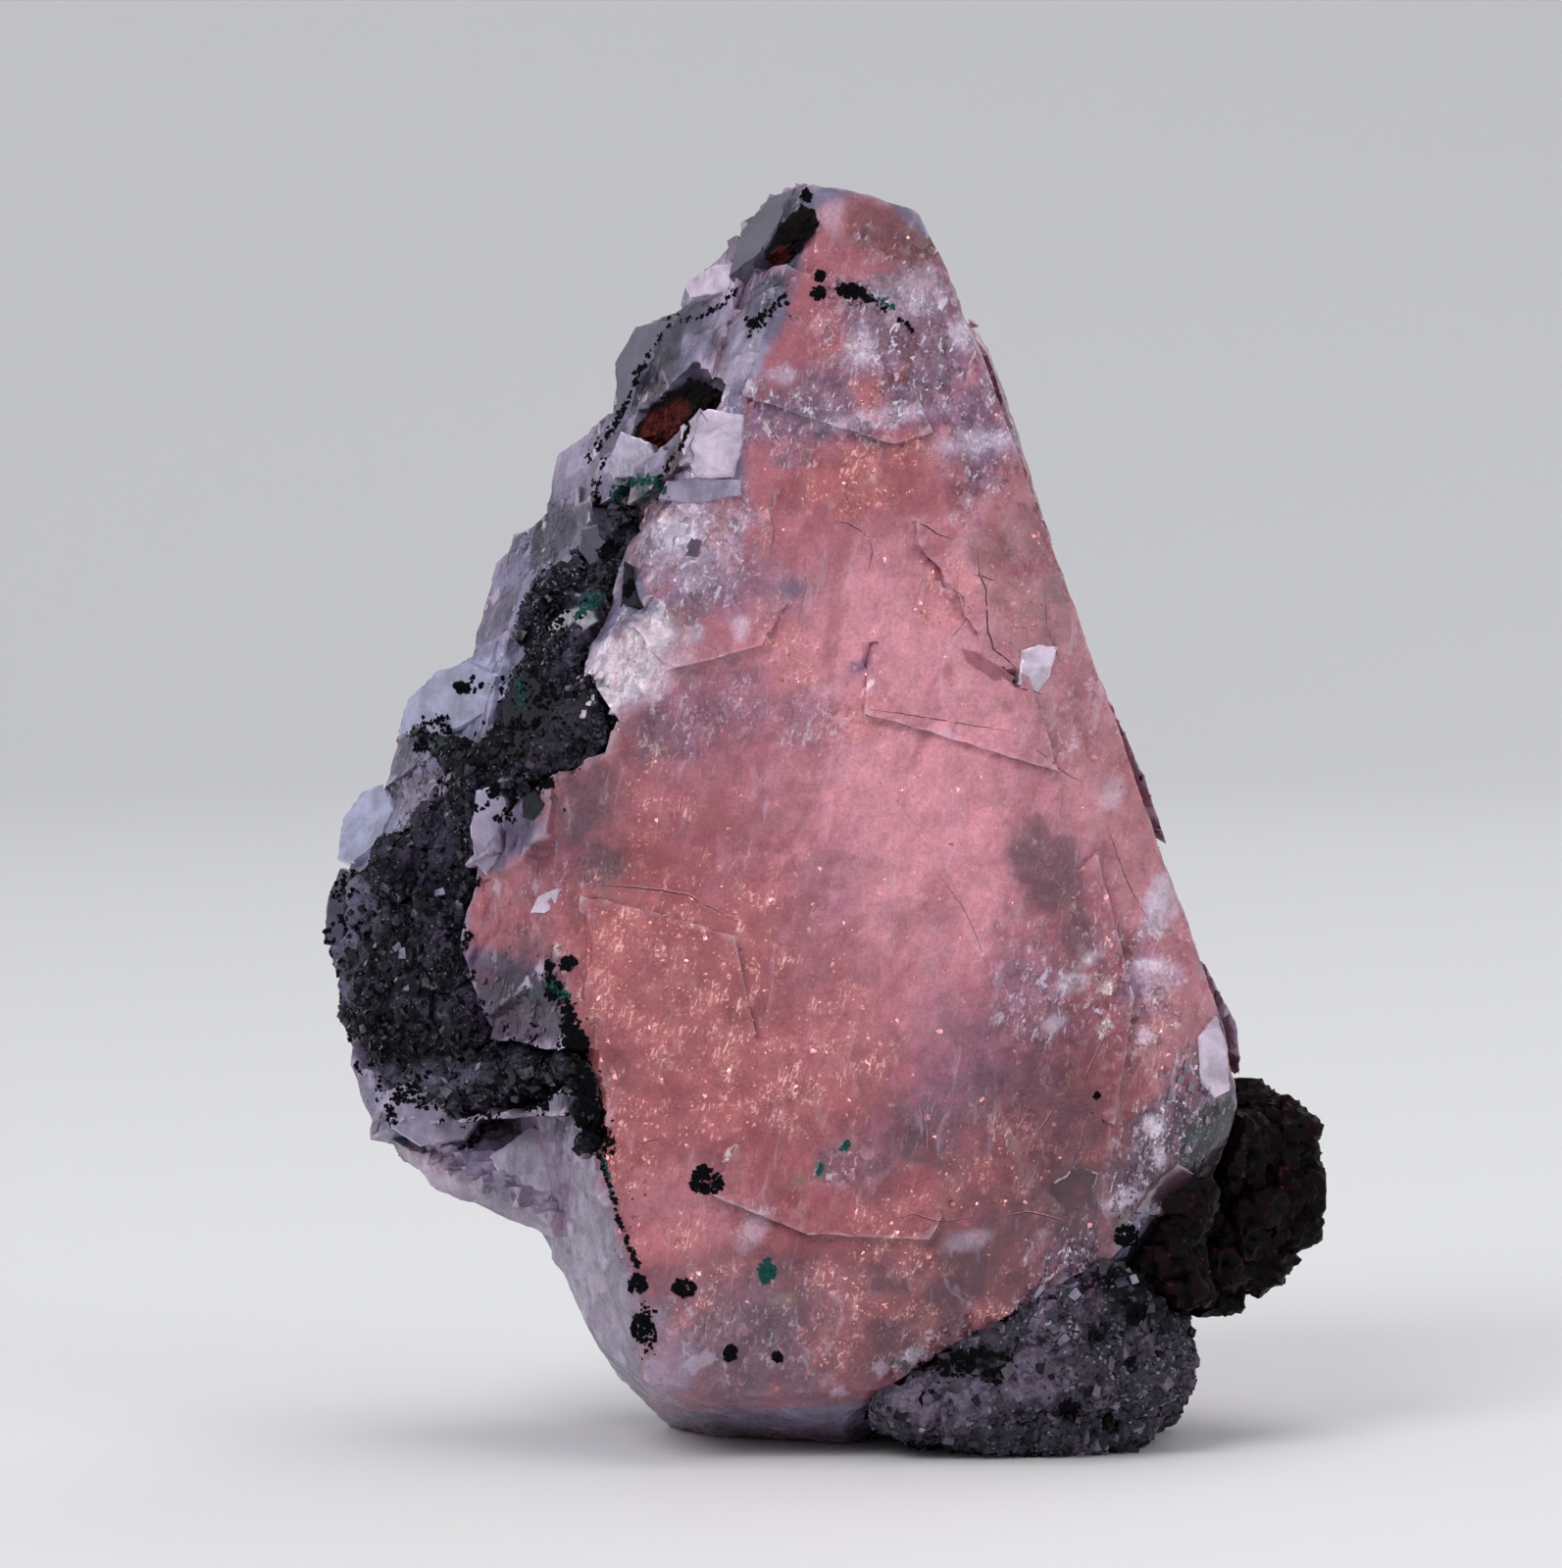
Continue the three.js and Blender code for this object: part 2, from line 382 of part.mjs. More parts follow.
const pinkCalcite = new THREE.MeshStandardMaterial({ color: 0xb8767a, roughness: 0.35 });
const blackChlorite = new THREE.MeshStandardMaterial({ color: 0x1d2324, roughness: 0.7 });
const greyRock = new THREE.MeshStandardMaterial({ color: 0x6b6a72, roughness: 0.75 });
const darkCopper = new THREE.MeshStandardMaterial({ color: 0x4a2a20, roughness: 0.5, metalness: 0.8 });
const redCopper = new THREE.MeshStandardMaterial({ color: 0x8c3f26, roughness: 0.45, metalness: 0.9 });

const specimen = new THREE.Group();
specimen.add(
  meshOf("calcite_crystal", crystal, pinkCalcite),
  meshOf("chlorite_rock", chlorite, blackChlorite),
  meshOf("grey_foot_rock", foot, greyRock),
  meshOf("copper_sponge", sponge, darkCopper),
  meshOf("copper_sheet_upper", upperSheet, redCopper),
  meshOf("copper_sheet_tip", tipSheet, redCopper),
);

export default specimen;
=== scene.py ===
"""Native copper in calcite: finishes every piece of the stone around its fixed frame."""
import math
import random

import bmesh
import bpy
import numpy as np
from bpy.props import FloatProperty, FloatVectorProperty, IntProperty, PointerProperty
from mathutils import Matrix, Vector, noise
from mathutils.bvhtree import BVHTree


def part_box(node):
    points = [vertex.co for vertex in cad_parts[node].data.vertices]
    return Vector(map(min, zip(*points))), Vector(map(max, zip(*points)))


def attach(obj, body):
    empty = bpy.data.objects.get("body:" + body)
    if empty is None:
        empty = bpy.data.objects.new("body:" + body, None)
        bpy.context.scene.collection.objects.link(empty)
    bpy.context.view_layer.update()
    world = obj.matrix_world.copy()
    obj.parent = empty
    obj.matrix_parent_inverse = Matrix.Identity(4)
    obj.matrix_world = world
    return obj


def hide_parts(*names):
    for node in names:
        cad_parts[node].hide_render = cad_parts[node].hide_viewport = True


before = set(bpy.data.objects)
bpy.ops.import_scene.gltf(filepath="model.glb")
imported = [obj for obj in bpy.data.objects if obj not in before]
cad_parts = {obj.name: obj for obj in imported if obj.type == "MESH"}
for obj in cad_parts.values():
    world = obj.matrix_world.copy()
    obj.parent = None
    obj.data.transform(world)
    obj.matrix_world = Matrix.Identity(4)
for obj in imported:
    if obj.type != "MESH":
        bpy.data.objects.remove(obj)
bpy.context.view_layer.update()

bl_info = {
    "name": "Native copper in calcite",
    "version": (1, 0, 0),
    "blender": (4, 5, 0),
    "location": "View3D > Sidebar > Mineral",
    "description": "Finishes a cloudy calcite crystal, its dark rock and its native copper",
    "category": "Object",
}

MM = 0.001
BODY = "root"

# The camera stands where the photograph was taken from. Its frame is 1593 by 1599 pixels.
FRAME_PX = (1593, 1599)
PX_PER_MM = 25
EYE = np.array((-1.66, -400.0, 44.1))
AIM = np.array((-1.66, 0.0, 26.5))
SIGHT = (AIM - EYE) / np.linalg.norm(AIM - EYE)
RIGHT = np.cross(SIGHT, (0, 0, 1))
RIGHT /= np.linalg.norm(RIGHT)
UP = np.cross(RIGHT, SIGHT)

# Calcite parts along three directions, a third of a turn from each other about its long axis.
C_AXIS = Vector((-0.786, 0.259, 0.561)).normalized()
DOWN_EDGE = Vector((-0.234, -0.35, -0.909)).normalized()


def turned_about(axis, vector, angle):
    """A vector turned about an axis."""
    from_axis = axis * axis.dot(vector)
    across = vector - from_axis
    return from_axis + across * math.cos(angle) + axis.cross(across) * math.sin(angle)


CLEAVAGE = np.array([turned_about(C_AXIS, DOWN_EDGE, turn * math.tau / 3) for turn in range(3)])
TO_CLEAVAGE = np.linalg.inv(CLEAVAGE)
FRONT_NORMAL = np.array((0.117, -0.977, 0.176))

# The deepest notch of the broken back and the depth of the face around it, in millimetres. The notch is
# made shallower.
BACK_NOTCH = np.array((-4.2, 10.2, 22.6))
BACK_DEPTH = 11.8

# The front is evened out in rounds, and a splinter on its right edge in some more. Patches on the front are
# given by their pixel in the photograph, their reach in millimetres across and up, and their turn in degrees.
FRONT_ROUNDS = 48
SPLINTER_ROUNDS = 60
SPLINTER = ((994, 312), (0.9, 1.6), 0)
CLEAR_FACET = ((910, 232), (2.2, 1.3), -12)

# The teal nugget: its pixel, radius in millimetres and how much wider than tall it is.
TEAL_NUGGET = ((781, 1297), 0.5, 0.75)
CRUMB_TRIES = 20000

# The smallest and largest grains in spots, in veins, beside the dark rock and in the rocks, in millimetres.
SPOT_GRAINS = (0.08, 0.24)
VEIN_GRAINS = (0.06, 0.2)
BORDER_GRAINS = (0.05, 0.2)
DARK_ROCK_GRAINS = (0.06, 0.42)
FOOT_GRAINS = (0.1, 0.5)

# How deep single crystals are sunk, the length of a jag on their rims and how far it strays, in millimetres.
SUNK = 0.6
JAG = 0.22
JAG_STRAY = 0.035

# Each piece with random places has a seed of its own.
SEEDS = {"flecks": 11, "dark_rock": 23, "grey_rock": 29, "crystals": 37, "marks": 43}

# The outline of the pink front in pixels of the photograph.
PINK_OUTLINE = [
    (835, 212), (880, 196), (985, 265), (1262, 1090), (1140, 1260), (1100, 1420), (655, 1440), (652, 1330),
    (628, 1240), (612, 1170), (600, 1100), (575, 1040), (560, 985), (480, 965), (470, 895), (520, 882),
    (556, 850), (540, 800), (600, 742), (648, 716), (690, 640), (640, 570), (655, 512), (757, 500),
    (760, 405), (803, 325),
]

# Colours of the crystal: patches of a tone, each at a pixel of the photograph with its reach in millimetres
# across and up, its turn in degrees, its strength and how soft its rim is. Later ones lie over earlier ones.
# Some of them paint light and shade: the dusky rose patches on the lower front and along the right edge are
# painted shade, the broad light rose patch in the middle is partly painted light, and the bright glint
# patches and the small pearl streaks on the lower right are painted glints.
FRONT_PATCHES = [
    ("salmon", (700, 1110), (9, 9), 0, 0.85, 0.5), ("salmon", (900, 1230), (9, 4.5), 20, 0.6, 0.5),
    # The dusky rose patches on this line paint shade over the lower front and the lower right corner.
    ("dusk_and_shade", (900, 1345), (12, 3.2), 8, 0.85, 0.5), ("dusk_and_shade", (1085, 1180), (4.5, 5.5), 20, 0.9, 0.5),
    # This light rose patch is partly painted light: the middle of the front is brighter.
    ("pale_rose_and_highlight", (955, 760), (5.5, 8), -10, 0.9, 0.5),
    ("pale_rose_and_highlight", (850, 640), (5, 3.5), 20, 0.55, 0.5),
    ("pale_rose_and_highlight", (900, 1000), (3.6, 4.4), -30, 0.25, 0.5),
    ("pale_rose_and_highlight", (700, 1230), (2.5, 2), 0, 0.4, 0.5), ("salmon", (640, 930), (3.6, 3.6), 30, 0.7, 0.4),
    # The dusky rose patches on this line paint shade along the right edge.
    ("dusk_and_shade", (1085, 690), (1.5, 6), -17, 0.35, 0.4), ("dusk_and_shade", (1060, 560), (1.6, 5), -17, 0.55, 0.4),
    ("dusk_and_shade", (1010, 560), (0.9, 1.2), 0, 0.5, 0.25), ("salmon", (880, 490), (3.4, 1.4), 0, 0.8, 0.5),
    ("salmon", (1165, 760), (1.1, 2.6), -20, 0.6, 0.4), ("haze", (930, 345), (3.4, 3.2), -20, 0.8, 0.4),
    ("dusk_and_shade", (900, 335), (1.2, 1.5), 10, 0.45, 0.5), ("haze", (1010, 430), (1.4, 3.2), -18, 0.75, 0.4),
    ("pearl_and_highlight", (930, 300), (1.6, 0.9), 15, 0.35, 0.5), ("pearl_and_highlight", (985, 338), (0.8, 0.8), 0, 0.7, 0.4),
    ("haze", (830, 400), (3.4, 1.2), 5, 0.7, 0.5), ("pearl_and_highlight", (875, 355), (0.7, 0.8), 0, 0.6, 0.5),
    ("pearl_and_highlight", (800, 385), (0.6, 0.4), 0, 0.7, 0.5), ("haze", (815, 432), (4.2, 0.9), 4, 0.75, 0.5),
    ("haze", (1000, 455), (1.8, 0.7), 10, 0.8, 0.5), ("haze", (700, 555), (2.6, 2.6), 10, 0.95, 0.4),
    ("pearl_and_highlight", (700, 545), (2.2, 2.2), 10, 0.45, 0.5), ("smoke_and_shade", (672, 520), (1.1, 1.3), 20, 0.6, 0.5),
    ("haze", (770, 600), (2.4, 1.6), -10, 0.5, 0.6), ("haze", (810, 470), (0.8, 0.3), 0, 0.6, 0.5),
    ("haze", (806, 600), (0.7, 0.4), 0, 0.9, 0.4), ("pearl_and_highlight", (755, 640), (0.3, 0.5), 0, 0.7, 0.5),
    ("haze", (875, 680), (0.45, 0.25), 5, 0.9, 0.3), ("pearl_and_highlight", (712, 646), (0.3, 0.4), 0, 0.8, 0.5),
    ("haze", (720, 730), (3, 1.6), 30, 0.5, 0.6), ("haze", (826, 735), (1.2, 1.1), 30, 0.5, 0.6),
    ("smoke_and_shade", (700, 634), (0.7, 1.1), 15, 0.55, 0.5), ("smoke_and_shade", (650, 748), (1.5, 1.4), 30, 0.7, 0.4),
    ("smoke_and_shade", (600, 815), (1.7, 1.5), 40, 0.85, 0.4), ("smoke_and_shade", (612, 880), (1.0, 0.9), 0, 0.9, 0.3),
    ("smoke_and_shade", (588, 828), (0.8, 1.4), 0, 0.35, 0.4), ("lilac_dusk", (562, 868), (1.3, 2.0), 0, 0.45, 0.5),
    ("lilac_dusk", (550, 1010), (1.2, 2.0), 0, 0.7, 0.5), ("haze", (840, 930), (1.2, 3.2), -15, 0.25, 0.5),
    ("haze", (905, 1160), (3.4, 1.3), 28, 0.5, 0.5), ("smoke_and_shade", (935, 1155), (1.3, 1.2), 20, 0.8, 0.4),
    ("smoke_and_shade", (896, 1206), (1.1, 1.0), 0, 0.35, 0.4), ("haze", (980, 1085), (2.2, 3), 10, 0.35, 0.5),
    ("haze", (1050, 1010), (1.4, 1.8), 20, 0.55, 0.5), ("leaf", (1068, 890), (1.3, 2.2), 22, 0.9, 0.3),
    ("leaf", (1098, 960), (1.3, 1.6), 30, 0.75, 0.5), ("dusk_and_shade", (1130, 1050), (2.4, 3.0), 10, 0.55, 0.5),
    ("smoke_and_shade", (1010, 1130), (1.4, 0.9), 30, 0.5, 0.5), ("salmon", (1150, 1110), (1.6, 2.6), 20, 0.6, 0.5),
    ("dusk_and_shade", (1010, 1290), (4.0, 1.8), 10, 0.6, 0.5), ("dark_red", (1040, 1300), (0.8, 0.5), 20, 0.6, 0.6),
    ("dark_red", (750, 1040), (0.4, 0.6), 20, 0.6, 0.6), ("dark_red", (712, 995), (0.4, 0.4), 20, 0.5, 0.6),
    ("dark_red", (870, 1360), (0.8, 0.3), 20, 0.5, 0.6),
    ("dark_red", (800, 1290), (0.7, 0.3), 20, 0.5, 0.6), ("smoke_and_shade", (1092, 1214), (1.2, 0.9), 20, 0.6, 0.4),
    ("dark_red", (1098, 1222), (0.5, 0.4), 20, 0.5, 0.5), ("haze", (1160, 1000), (1.0, 1.6), 20, 0.6, 0.5),
    # Painted glints: the bright glint patches from here on and the small pearl streaks beside them on the
    # lower right.
    ("pearl_and_highlight", (1186, 922), (0.7, 1.3), -20, 0.75, 0.3), ("pearl_and_highlight", (1136, 806), (0.4, 0.8), -20, 0.35, 0.4),
    ("pearl_and_highlight", (1178, 996), (1.0, 0.8), -10, 0.45, 0.5), ("painted_glint", (1112, 978), (0.6, 0.2), 35, 0.6, 0.5),
    ("painted_glint", (1098, 1002), (0.7, 0.4), 10, 0.55, 0.5), ("painted_glint", (1176, 984), (0.8, 0.18), -8, 0.55, 0.5),
    ("salmon", (1142, 985), (0.35, 1.6), -20, 0.8, 0.4), ("painted_glint", (1075, 1042), (0.45, 0.3), 30, 0.35, 0.5),
    ("pearl_and_highlight", (1169, 1056), (0.4, 0.35), 0, 0.7, 0.3), ("pearl_and_highlight", (985, 1264), (1.0, 0.35), 10, 0.3, 0.4),
    ("painted_glint", (932, 1382), (0.5, 0.3), 10, 0.5, 0.5), ("pearl_and_highlight", (998, 452), (1.6, 0.5), 5, 0.55, 0.4),
    ("pearl_and_highlight", (895, 426), (2.2, 0.35), 8, 0.4, 0.5), ("painted_glint", (688, 542), (0.9, 0.5), -10, 0.6, 0.4),
    ("cream", (662, 668), (1.5, 1.0), 35, 0.6, 0.9), ("pearl_and_highlight", (640, 712), (2.0, 0.6), 40, 0.5, 0.8),
    ("lilac_grain", (1190, 1165), (1.4, 4.2), -28, 0.95, 0.35),
    ("lilac_grain", (1085, 1320), (1.6, 2.4), -30, 0.85, 0.4),
    ("painted_glint", (1176, 1147), (0.35, 0.35), 0, 0.7, 0.5), ("painted_glint", (1182, 1183), (0.3, 0.45), 0, 0.55, 0.5),
    ("pearl_and_highlight", (1150, 1222), (0.9, 0.35), 30, 0.6, 0.4), ("painted_glint", (1087, 1312), (0.35, 0.5), -20, 0.6, 0.5),
    ("pearl_and_highlight", (770, 1252), (0.5, 0.9), -30, 0.4, 0.5), ("moss", (800, 1326), (0.7, 0.3), 15, 0.8, 0.4),
    ("moss_green", (863, 1168), (0.3, 0.3), 20, 0.8, 0.4),
    ("moss_green", (835, 1193), (0.2, 0.35), 0, 0.7, 0.4),
    ("moss_green", (816, 1204), (0.3, 0.35), 0, 0.5, 0.5),
    ("lilac_rose", (740, 1365), (5.5, 2.8), 0, 0.8, 0.5),
    ("lilac_white", (655, 1385), (2, 2.2), 0, 0.5, 0.4), ("dark_red", (628, 1088), (0.6, 1.1), 0, 0.7, 0.6),
    ("dark_red", (543, 859), (0.35, 0.3), 0, 0.95, 0.4),
    ("dark_red", (546, 888), (0.25, 0.15), 0, 0.9, 0.4),
    ("dark_red", (918, 386), (0.45, 0.25), 30, 0.9, 0.4), ("salmon", (885, 400), (0.5, 0.5), 0, 0.8, 0.5),
    ("dark_red", (975, 505), (0.3, 0.8), -20, 0.4, 0.5), ("facet", (912, 234), (2.2, 1.35), -12, 0.9, 0.2),
    ("dusk_and_shade", (940, 250), (1.2, 0.6), -25, 0.4, 0.4), ("pearl_and_highlight", (905, 206), (1.6, 0.16), -14, 0.6, 0.5),
    ("salmon", (890, 258), (1.2, 0.4), 10, 0.5, 0.5), ("pearl_and_highlight", (850, 215), (0.5, 0.9), 10, 0.4, 0.5),
    ("dusk_and_shade", (1112, 1130), (0.5, 0.6), 0, 0.4, 0.5),
]

FLANK_PATCHES = [
    ("slate", (1225, 1190), (1.7, 4.5), -10, 0.9, 0.4),
    ("lilac_dusk", (528, 1015), (3.2, 2.9), -10, 0.95, 0.4), ("dusk_and_shade", (480, 995), (0.9, 0.6), 10, 0.7, 0.5),
    ("lilac_dusk", (545, 860), (1.4, 2.2), 0, 0.7, 0.5),
    ("flank_grey", (610, 400), (1.0, 3.4), 35, 0.6, 0.5),
    ("flank_grey", (560, 520), (1.2, 3.0), 30, 0.6, 0.5), ("smoke_and_shade", (700, 300), (1.8, 0.4), -20, 0.5, 0.5),
    ("slab", (775, 235), (1.6, 2.2), 25, 0.95, 0.25), ("slab", (665, 350), (1.3, 1.9), 20, 0.85, 0.3),
    ("flank_grey", (665, 385), (1.9, 1.4), -30, 0.85, 0.35),
    ("flank_grey", (735, 335), (0.9, 2.2), 40, 0.7, 0.4),
    ("flank_grey", (700, 325), (1.3, 0.9), 20, 0.7, 0.4), ("pearl_and_highlight", (730, 285), (1.6, 0.8), 15, 0.6, 0.5),
    ("lilac_white", (770, 375), (0.9, 3.6), 28, 0.9, 0.3), ("pearl_and_highlight", (735, 378), (0.6, 0.8), 0, 0.6, 0.5),
    ("lilac_white", (655, 460), (1.3, 1.2), 0, 0.7, 0.4),
    ("dark_red", (690, 470), (0.3, 0.8), -25, 0.75, 0.4), ("teal", (648, 499), (1.0, 0.5), 0, 0.85, 0.4),
    ("teal", (707, 432), (0.5, 0.5), 0, 0.3, 0.5), ("slate", (637, 550), (0.5, 1.2), 0, 0.6, 0.4),
    ("lilac_white", (590, 470), (1.6, 1.3), 30, 0.6, 0.5),
    ("periwinkle", (460, 706), (2.3, 1.8), 25, 0.95, 0.3), ("cream", (622, 690), (2.6, 1.3), 40, 0.95, 0.3),
    ("cream", (655, 662), (1.2, 1.0), 40, 0.8, 0.4), ("periwinkle", (378, 842), (1.4, 1.8), 30, 0.95, 0.3),
    ("slab", (350, 925), (0.9, 1.8), 10, 0.8, 0.3), ("smoke_and_shade", (440, 850), (1.3, 2.2), 0, 0.5, 0.5),
    ("periwinkle", (445, 1130), (2.2, 1.4), 15, 0.7, 0.3), ("pearl_and_highlight", (410, 1130), (0.8, 0.6), 15, 0.4, 0.4),
    ("lilac_low", (575, 1280), (4, 5.5), -20, 0.85, 0.4),
    ("lilac_low", (545, 1130), (2.2, 2.2), -20, 0.6, 0.4), ("slab", (585, 1120), (0.8, 1.6), -10, 0.6, 0.4),
    ("cream", (430, 1190), (2.4, 0.5), -25, 0.45, 0.5), ("smoke_and_shade", (470, 1200), (2.6, 0.3), -28, 0.5, 0.5),
]

# Copper flecks: where they crowd, each place with its reach in millimetres, its turn and how dense they are.
FLECK_PATCHES = [
    ((875, 492), (2.0, 1.2), 10, 1.0), ((845, 345), (0.8, 1.6), 10, 0.5), ((930, 462), (1.0, 0.8), 0, 0.8),
    ((885, 400), (0.8, 0.8), 0, 0.7), ((800, 660), (1.3, 2.0), 20, 0.55), ((965, 610), (1.6, 1.2), 20, 0.6),
    ((880, 735), (1.6, 0.9), 0, 0.7), ((760, 545), (1.6, 1.6), 0, 0.25),
    ((660, 1000), (3.2, 3.8), 10, 0.75), ((640, 1150), (2.0, 2.4), 0, 0.75),
    ((760, 1080), (3.2, 2.6), 20, 0.6), ((720, 980), (4.4, 3.4), 10, 0.6),
    ((850, 1040), (2.6, 1.6), 20, 0.45), ((640, 930), (1.4, 0.7), 40, 0.9),
    ((835, 1110), (3.0, 1.6), 25, 0.55), ((905, 1250), (2.4, 1.0), 20, 0.6),
    ((745, 1140), (1.0, 0.8), 0, 0.8), ((850, 1335), (1.3, 2.2), 0, 0.6),
    ((905, 1335), (1.3, 0.6), 10, 0.7), ((930, 1280), (0.8, 1.6), 20, 0.7),
    ((945, 1350), (0.8, 0.8), 0, 0.6), ((1010, 1340), (0.8, 0.6), 0, 0.6),
    ((680, 1265), (1.4, 0.9), 0, 0.7), ((720, 1315), (1.6, 0.8), 40, 0.5), ((490, 922), (0.3, 0.5), 0, 0.9),
    ((483, 992), (0.4, 0.4), 0, 0.8), ((1020, 1180), (2.0, 1.6), 20, 0.35),
    ((1040, 620), (0.8, 2.0), 0, 0.25), ((960, 840), (3.4, 3.0), 0, 0.14),
    ((1180, 1040), (1.2, 1.6), 0, 0.35), ((820, 255), (0.8, 1.2), 0, 0.2),
    ((670, 820), (1.6, 1.6), 0, 0.45),
]

# Where the crystal is broken into fine shards that carry painted glints, in the same form.
FROST_PATCHES = [
    ((930, 345), (3.4, 3.4), -20, 1.0), ((1010, 430), (1.6, 3.4), -18, 0.9),
    ((830, 425), (4.0, 1.8), 4, 0.9), ((700, 555), (2.8, 2.8), 0, 0.9),
    ((1190, 1165), (1.6, 4.4), -28, 1.0), ((1085, 1320), (1.8, 2.6), -30, 1.0),
    ((622, 690), (2.6, 1.5), 40, 0.8), ((1150, 1000), (2.4, 3.2), 15, 0.8),
    ((1060, 1010), (2.0, 2.4), 20, 0.6), ((826, 735), (1.4, 1.2), 30, 0.6),
    ((720, 730), (3.0, 1.6), 30, 0.5), ((960, 1370), (3.6, 1.2), 5, 0.6),
    ((770, 1350), (4.0, 2.0), 0, 0.45), ((1110, 700), (1.2, 5.0), -18, 0.35),
    ((860, 1190), (1.6, 0.8), 25, 0.6), ((775, 1250), (1.0, 1.0), 0, 0.5), ((690, 640), (1.2, 1.2), 0, 0.5),
    ((560, 920), (1.6, 1.2), 0, 0.5),
]

# Black specks on the pale crystal, in the same form.
SPECK_PATCHES = [
    ((600, 430), (1.0, 2.4), 30, 0.5), ((735, 300), (2.2, 0.4), 20, 0.6), ((790, 300), (0.8, 1.2), 30, 0.7),
    ((640, 400), (0.6, 2.4), 20, 0.45), ((560, 560), (1.8, 2.6), 30, 0.7), ((430, 800), (2.2, 3.0), 0, 0.8),
    ((350, 900), (1.2, 3.6), 0, 0.5), ((560, 1010), (1.4, 2.2), 0, 0.8), ((470, 1090), (4.0, 1.4), 0, 0.7),
    ((540, 1160), (2.2, 1.4), 0, 0.55), ((640, 1240), (0.6, 3.4), -15, 0.6),
    ((560, 1230), (3.4, 3.0), 0, 0.18), ((660, 1370), (1.6, 1.4), 0, 0.4),
    ((740, 1395), (3.2, 0.8), 0, 0.4), ((560, 800), (1.4, 2.0), 0, 0.5), ((610, 700), (2.6, 1.6), 30, 0.2),
    ((720, 400), (1.2, 1.6), 30, 0.3), ((950, 1385), (3.2, 0.8), 10, 0.7),
    ((870, 300), (1.8, 0.6), -10, 0.7), ((900, 340), (0.8, 1.4), 0, 0.3),
    ((1232, 1180), (1.2, 3.0), -10, 1.0),
]

# Stained patches of the dark rock and the foot: their colour, place, reach in millimetres, turn and strength.
DARK_ROCK_PATCHES = [
    ("black", (592, 1066), (0.8, 1.6), 0, 1.0), ("black", (606, 1132), (1.0, 1.8), 0, 1.0),
    ("slate", (560, 728), (1.6, 1.5), 20, 0.85), ("smoky_lilac", (520, 1010), (1.9, 2.0), 0, 0.8),
    ("smoky_lilac", (440, 850), (1.0, 1.8), 0, 0.6), ("teal", (534, 712), (0.25, 1.0), 0, 0.8),
    ("teal", (600, 614), (0.8, 0.4), 20, 0.7), ("teal", (568, 1006), (0.6, 0.5), 0, 0.6),
    ("grey", (610, 550), (0.7, 1.0), 0, 0.7), ("grey", (405, 1000), (1.0, 1.6), 0, 0.3),
    ("teal", (350, 1090), (0.6, 1.0), 0, 0.4), ("smoky_lilac", (430, 960), (0.5, 0.9), 0, 0.6),
    ("navy", (420, 890), (1.4, 0.6), 0, 0.9), ("navy", (540, 1122), (1.0, 0.7), 0, 0.9),
    ("lilac", (352, 915), (0.9, 2.2), 5, 0.85), ("lilac", (345, 1000), (0.5, 1.2), 0, 0.6),
    ("lilac", (374, 930), (0.7, 1.0), 20, 0.5), ("lilac", (420, 800), (1.0, 1.0), 0, 0.6),
    ("lilac", (450, 1098), (1.6, 0.7), 10, 0.5), ("lilac", (400, 1100), (0.7, 0.6), 0, 0.5),
    ("black", (470, 1060), (2.4, 1.2), 10, 0.8), ("black", (400, 1060), (1.2, 1.4), 20, 0.7),
    ("black", (480, 760), (2.0, 1.2), 40, 0.7), ("black", (400, 960), (1.1, 1.2), 0, 0.6),
]
FOOT_PATCHES = [
    # The black patches at (1160, 1290) and (1190, 1335), at the top right of the foot, paint the shadow under
    # the copper sponge.
    ("black", (1160, 1290), (2.6, 2.0), 40, 0.95), ("black", (975, 1392), (2.0, 0.5), 10, 0.9),
    ("foot_lilac", (1060, 1404), (1.7, 1.2), 10, 0.8), ("foot_lilac", (1000, 1425), (1.6, 0.8), 20, 0.5),
    ("black", (1190, 1335), (1.4, 1.0), 0, 0.6), ("foot_dark", (1090, 1438), (0.6, 0.5), 0, 0.7),
    ("foot_lilac", (1112, 1332), (0.7, 0.5), 30, 0.7), ("foot_lilac", (960, 1424), (2.2, 1.2), 8, 0.9),
    ("lilac", (985, 1418), (0.8, 0.5), 8, 0.6), ("lilac", (1050, 1392), (0.6, 0.3), 0, 0.5),
]

# Small cleavage chips: their colour, place, reach in millimetres, turn, count and largest width.
CHIP_PATCHES = [
    ("lilac_grain", (1190, 1165), (1.3, 4.0), -28, 150, 0.55),
    ("pearl_and_highlight", (1190, 1150), (1.2, 3.8), -28, 70, 0.25),
    ("lilac_grain", (1085, 1325), (1.4, 2.2), -30, 90, 0.5),
    ("pearl_and_highlight", (1080, 1310), (1.2, 2.0), -30, 40, 0.25), ("cream", (622, 692), (2.0, 1.2), 40, 70, 0.5),
    ("periwinkle", (520, 600), (2.2, 3.0), 35, 60, 0.45), ("slab", (450, 800), (2.4, 2.6), 20, 70, 0.5),
    ("flank_grey", (360, 980), (1.4, 4.0), 0, 70, 0.5), ("slab", (420, 1150), (3.0, 1.6), 0, 50, 0.5),
    ("lilac_dusk", (520, 1020), (2.4, 2.2), 0, 160, 0.4),
    ("flank_grey", (440, 1060), (3.0, 3.4), 0, 160, 0.4), ("slab", (560, 640), (1.6, 2.0), 0, 50, 0.5),
]

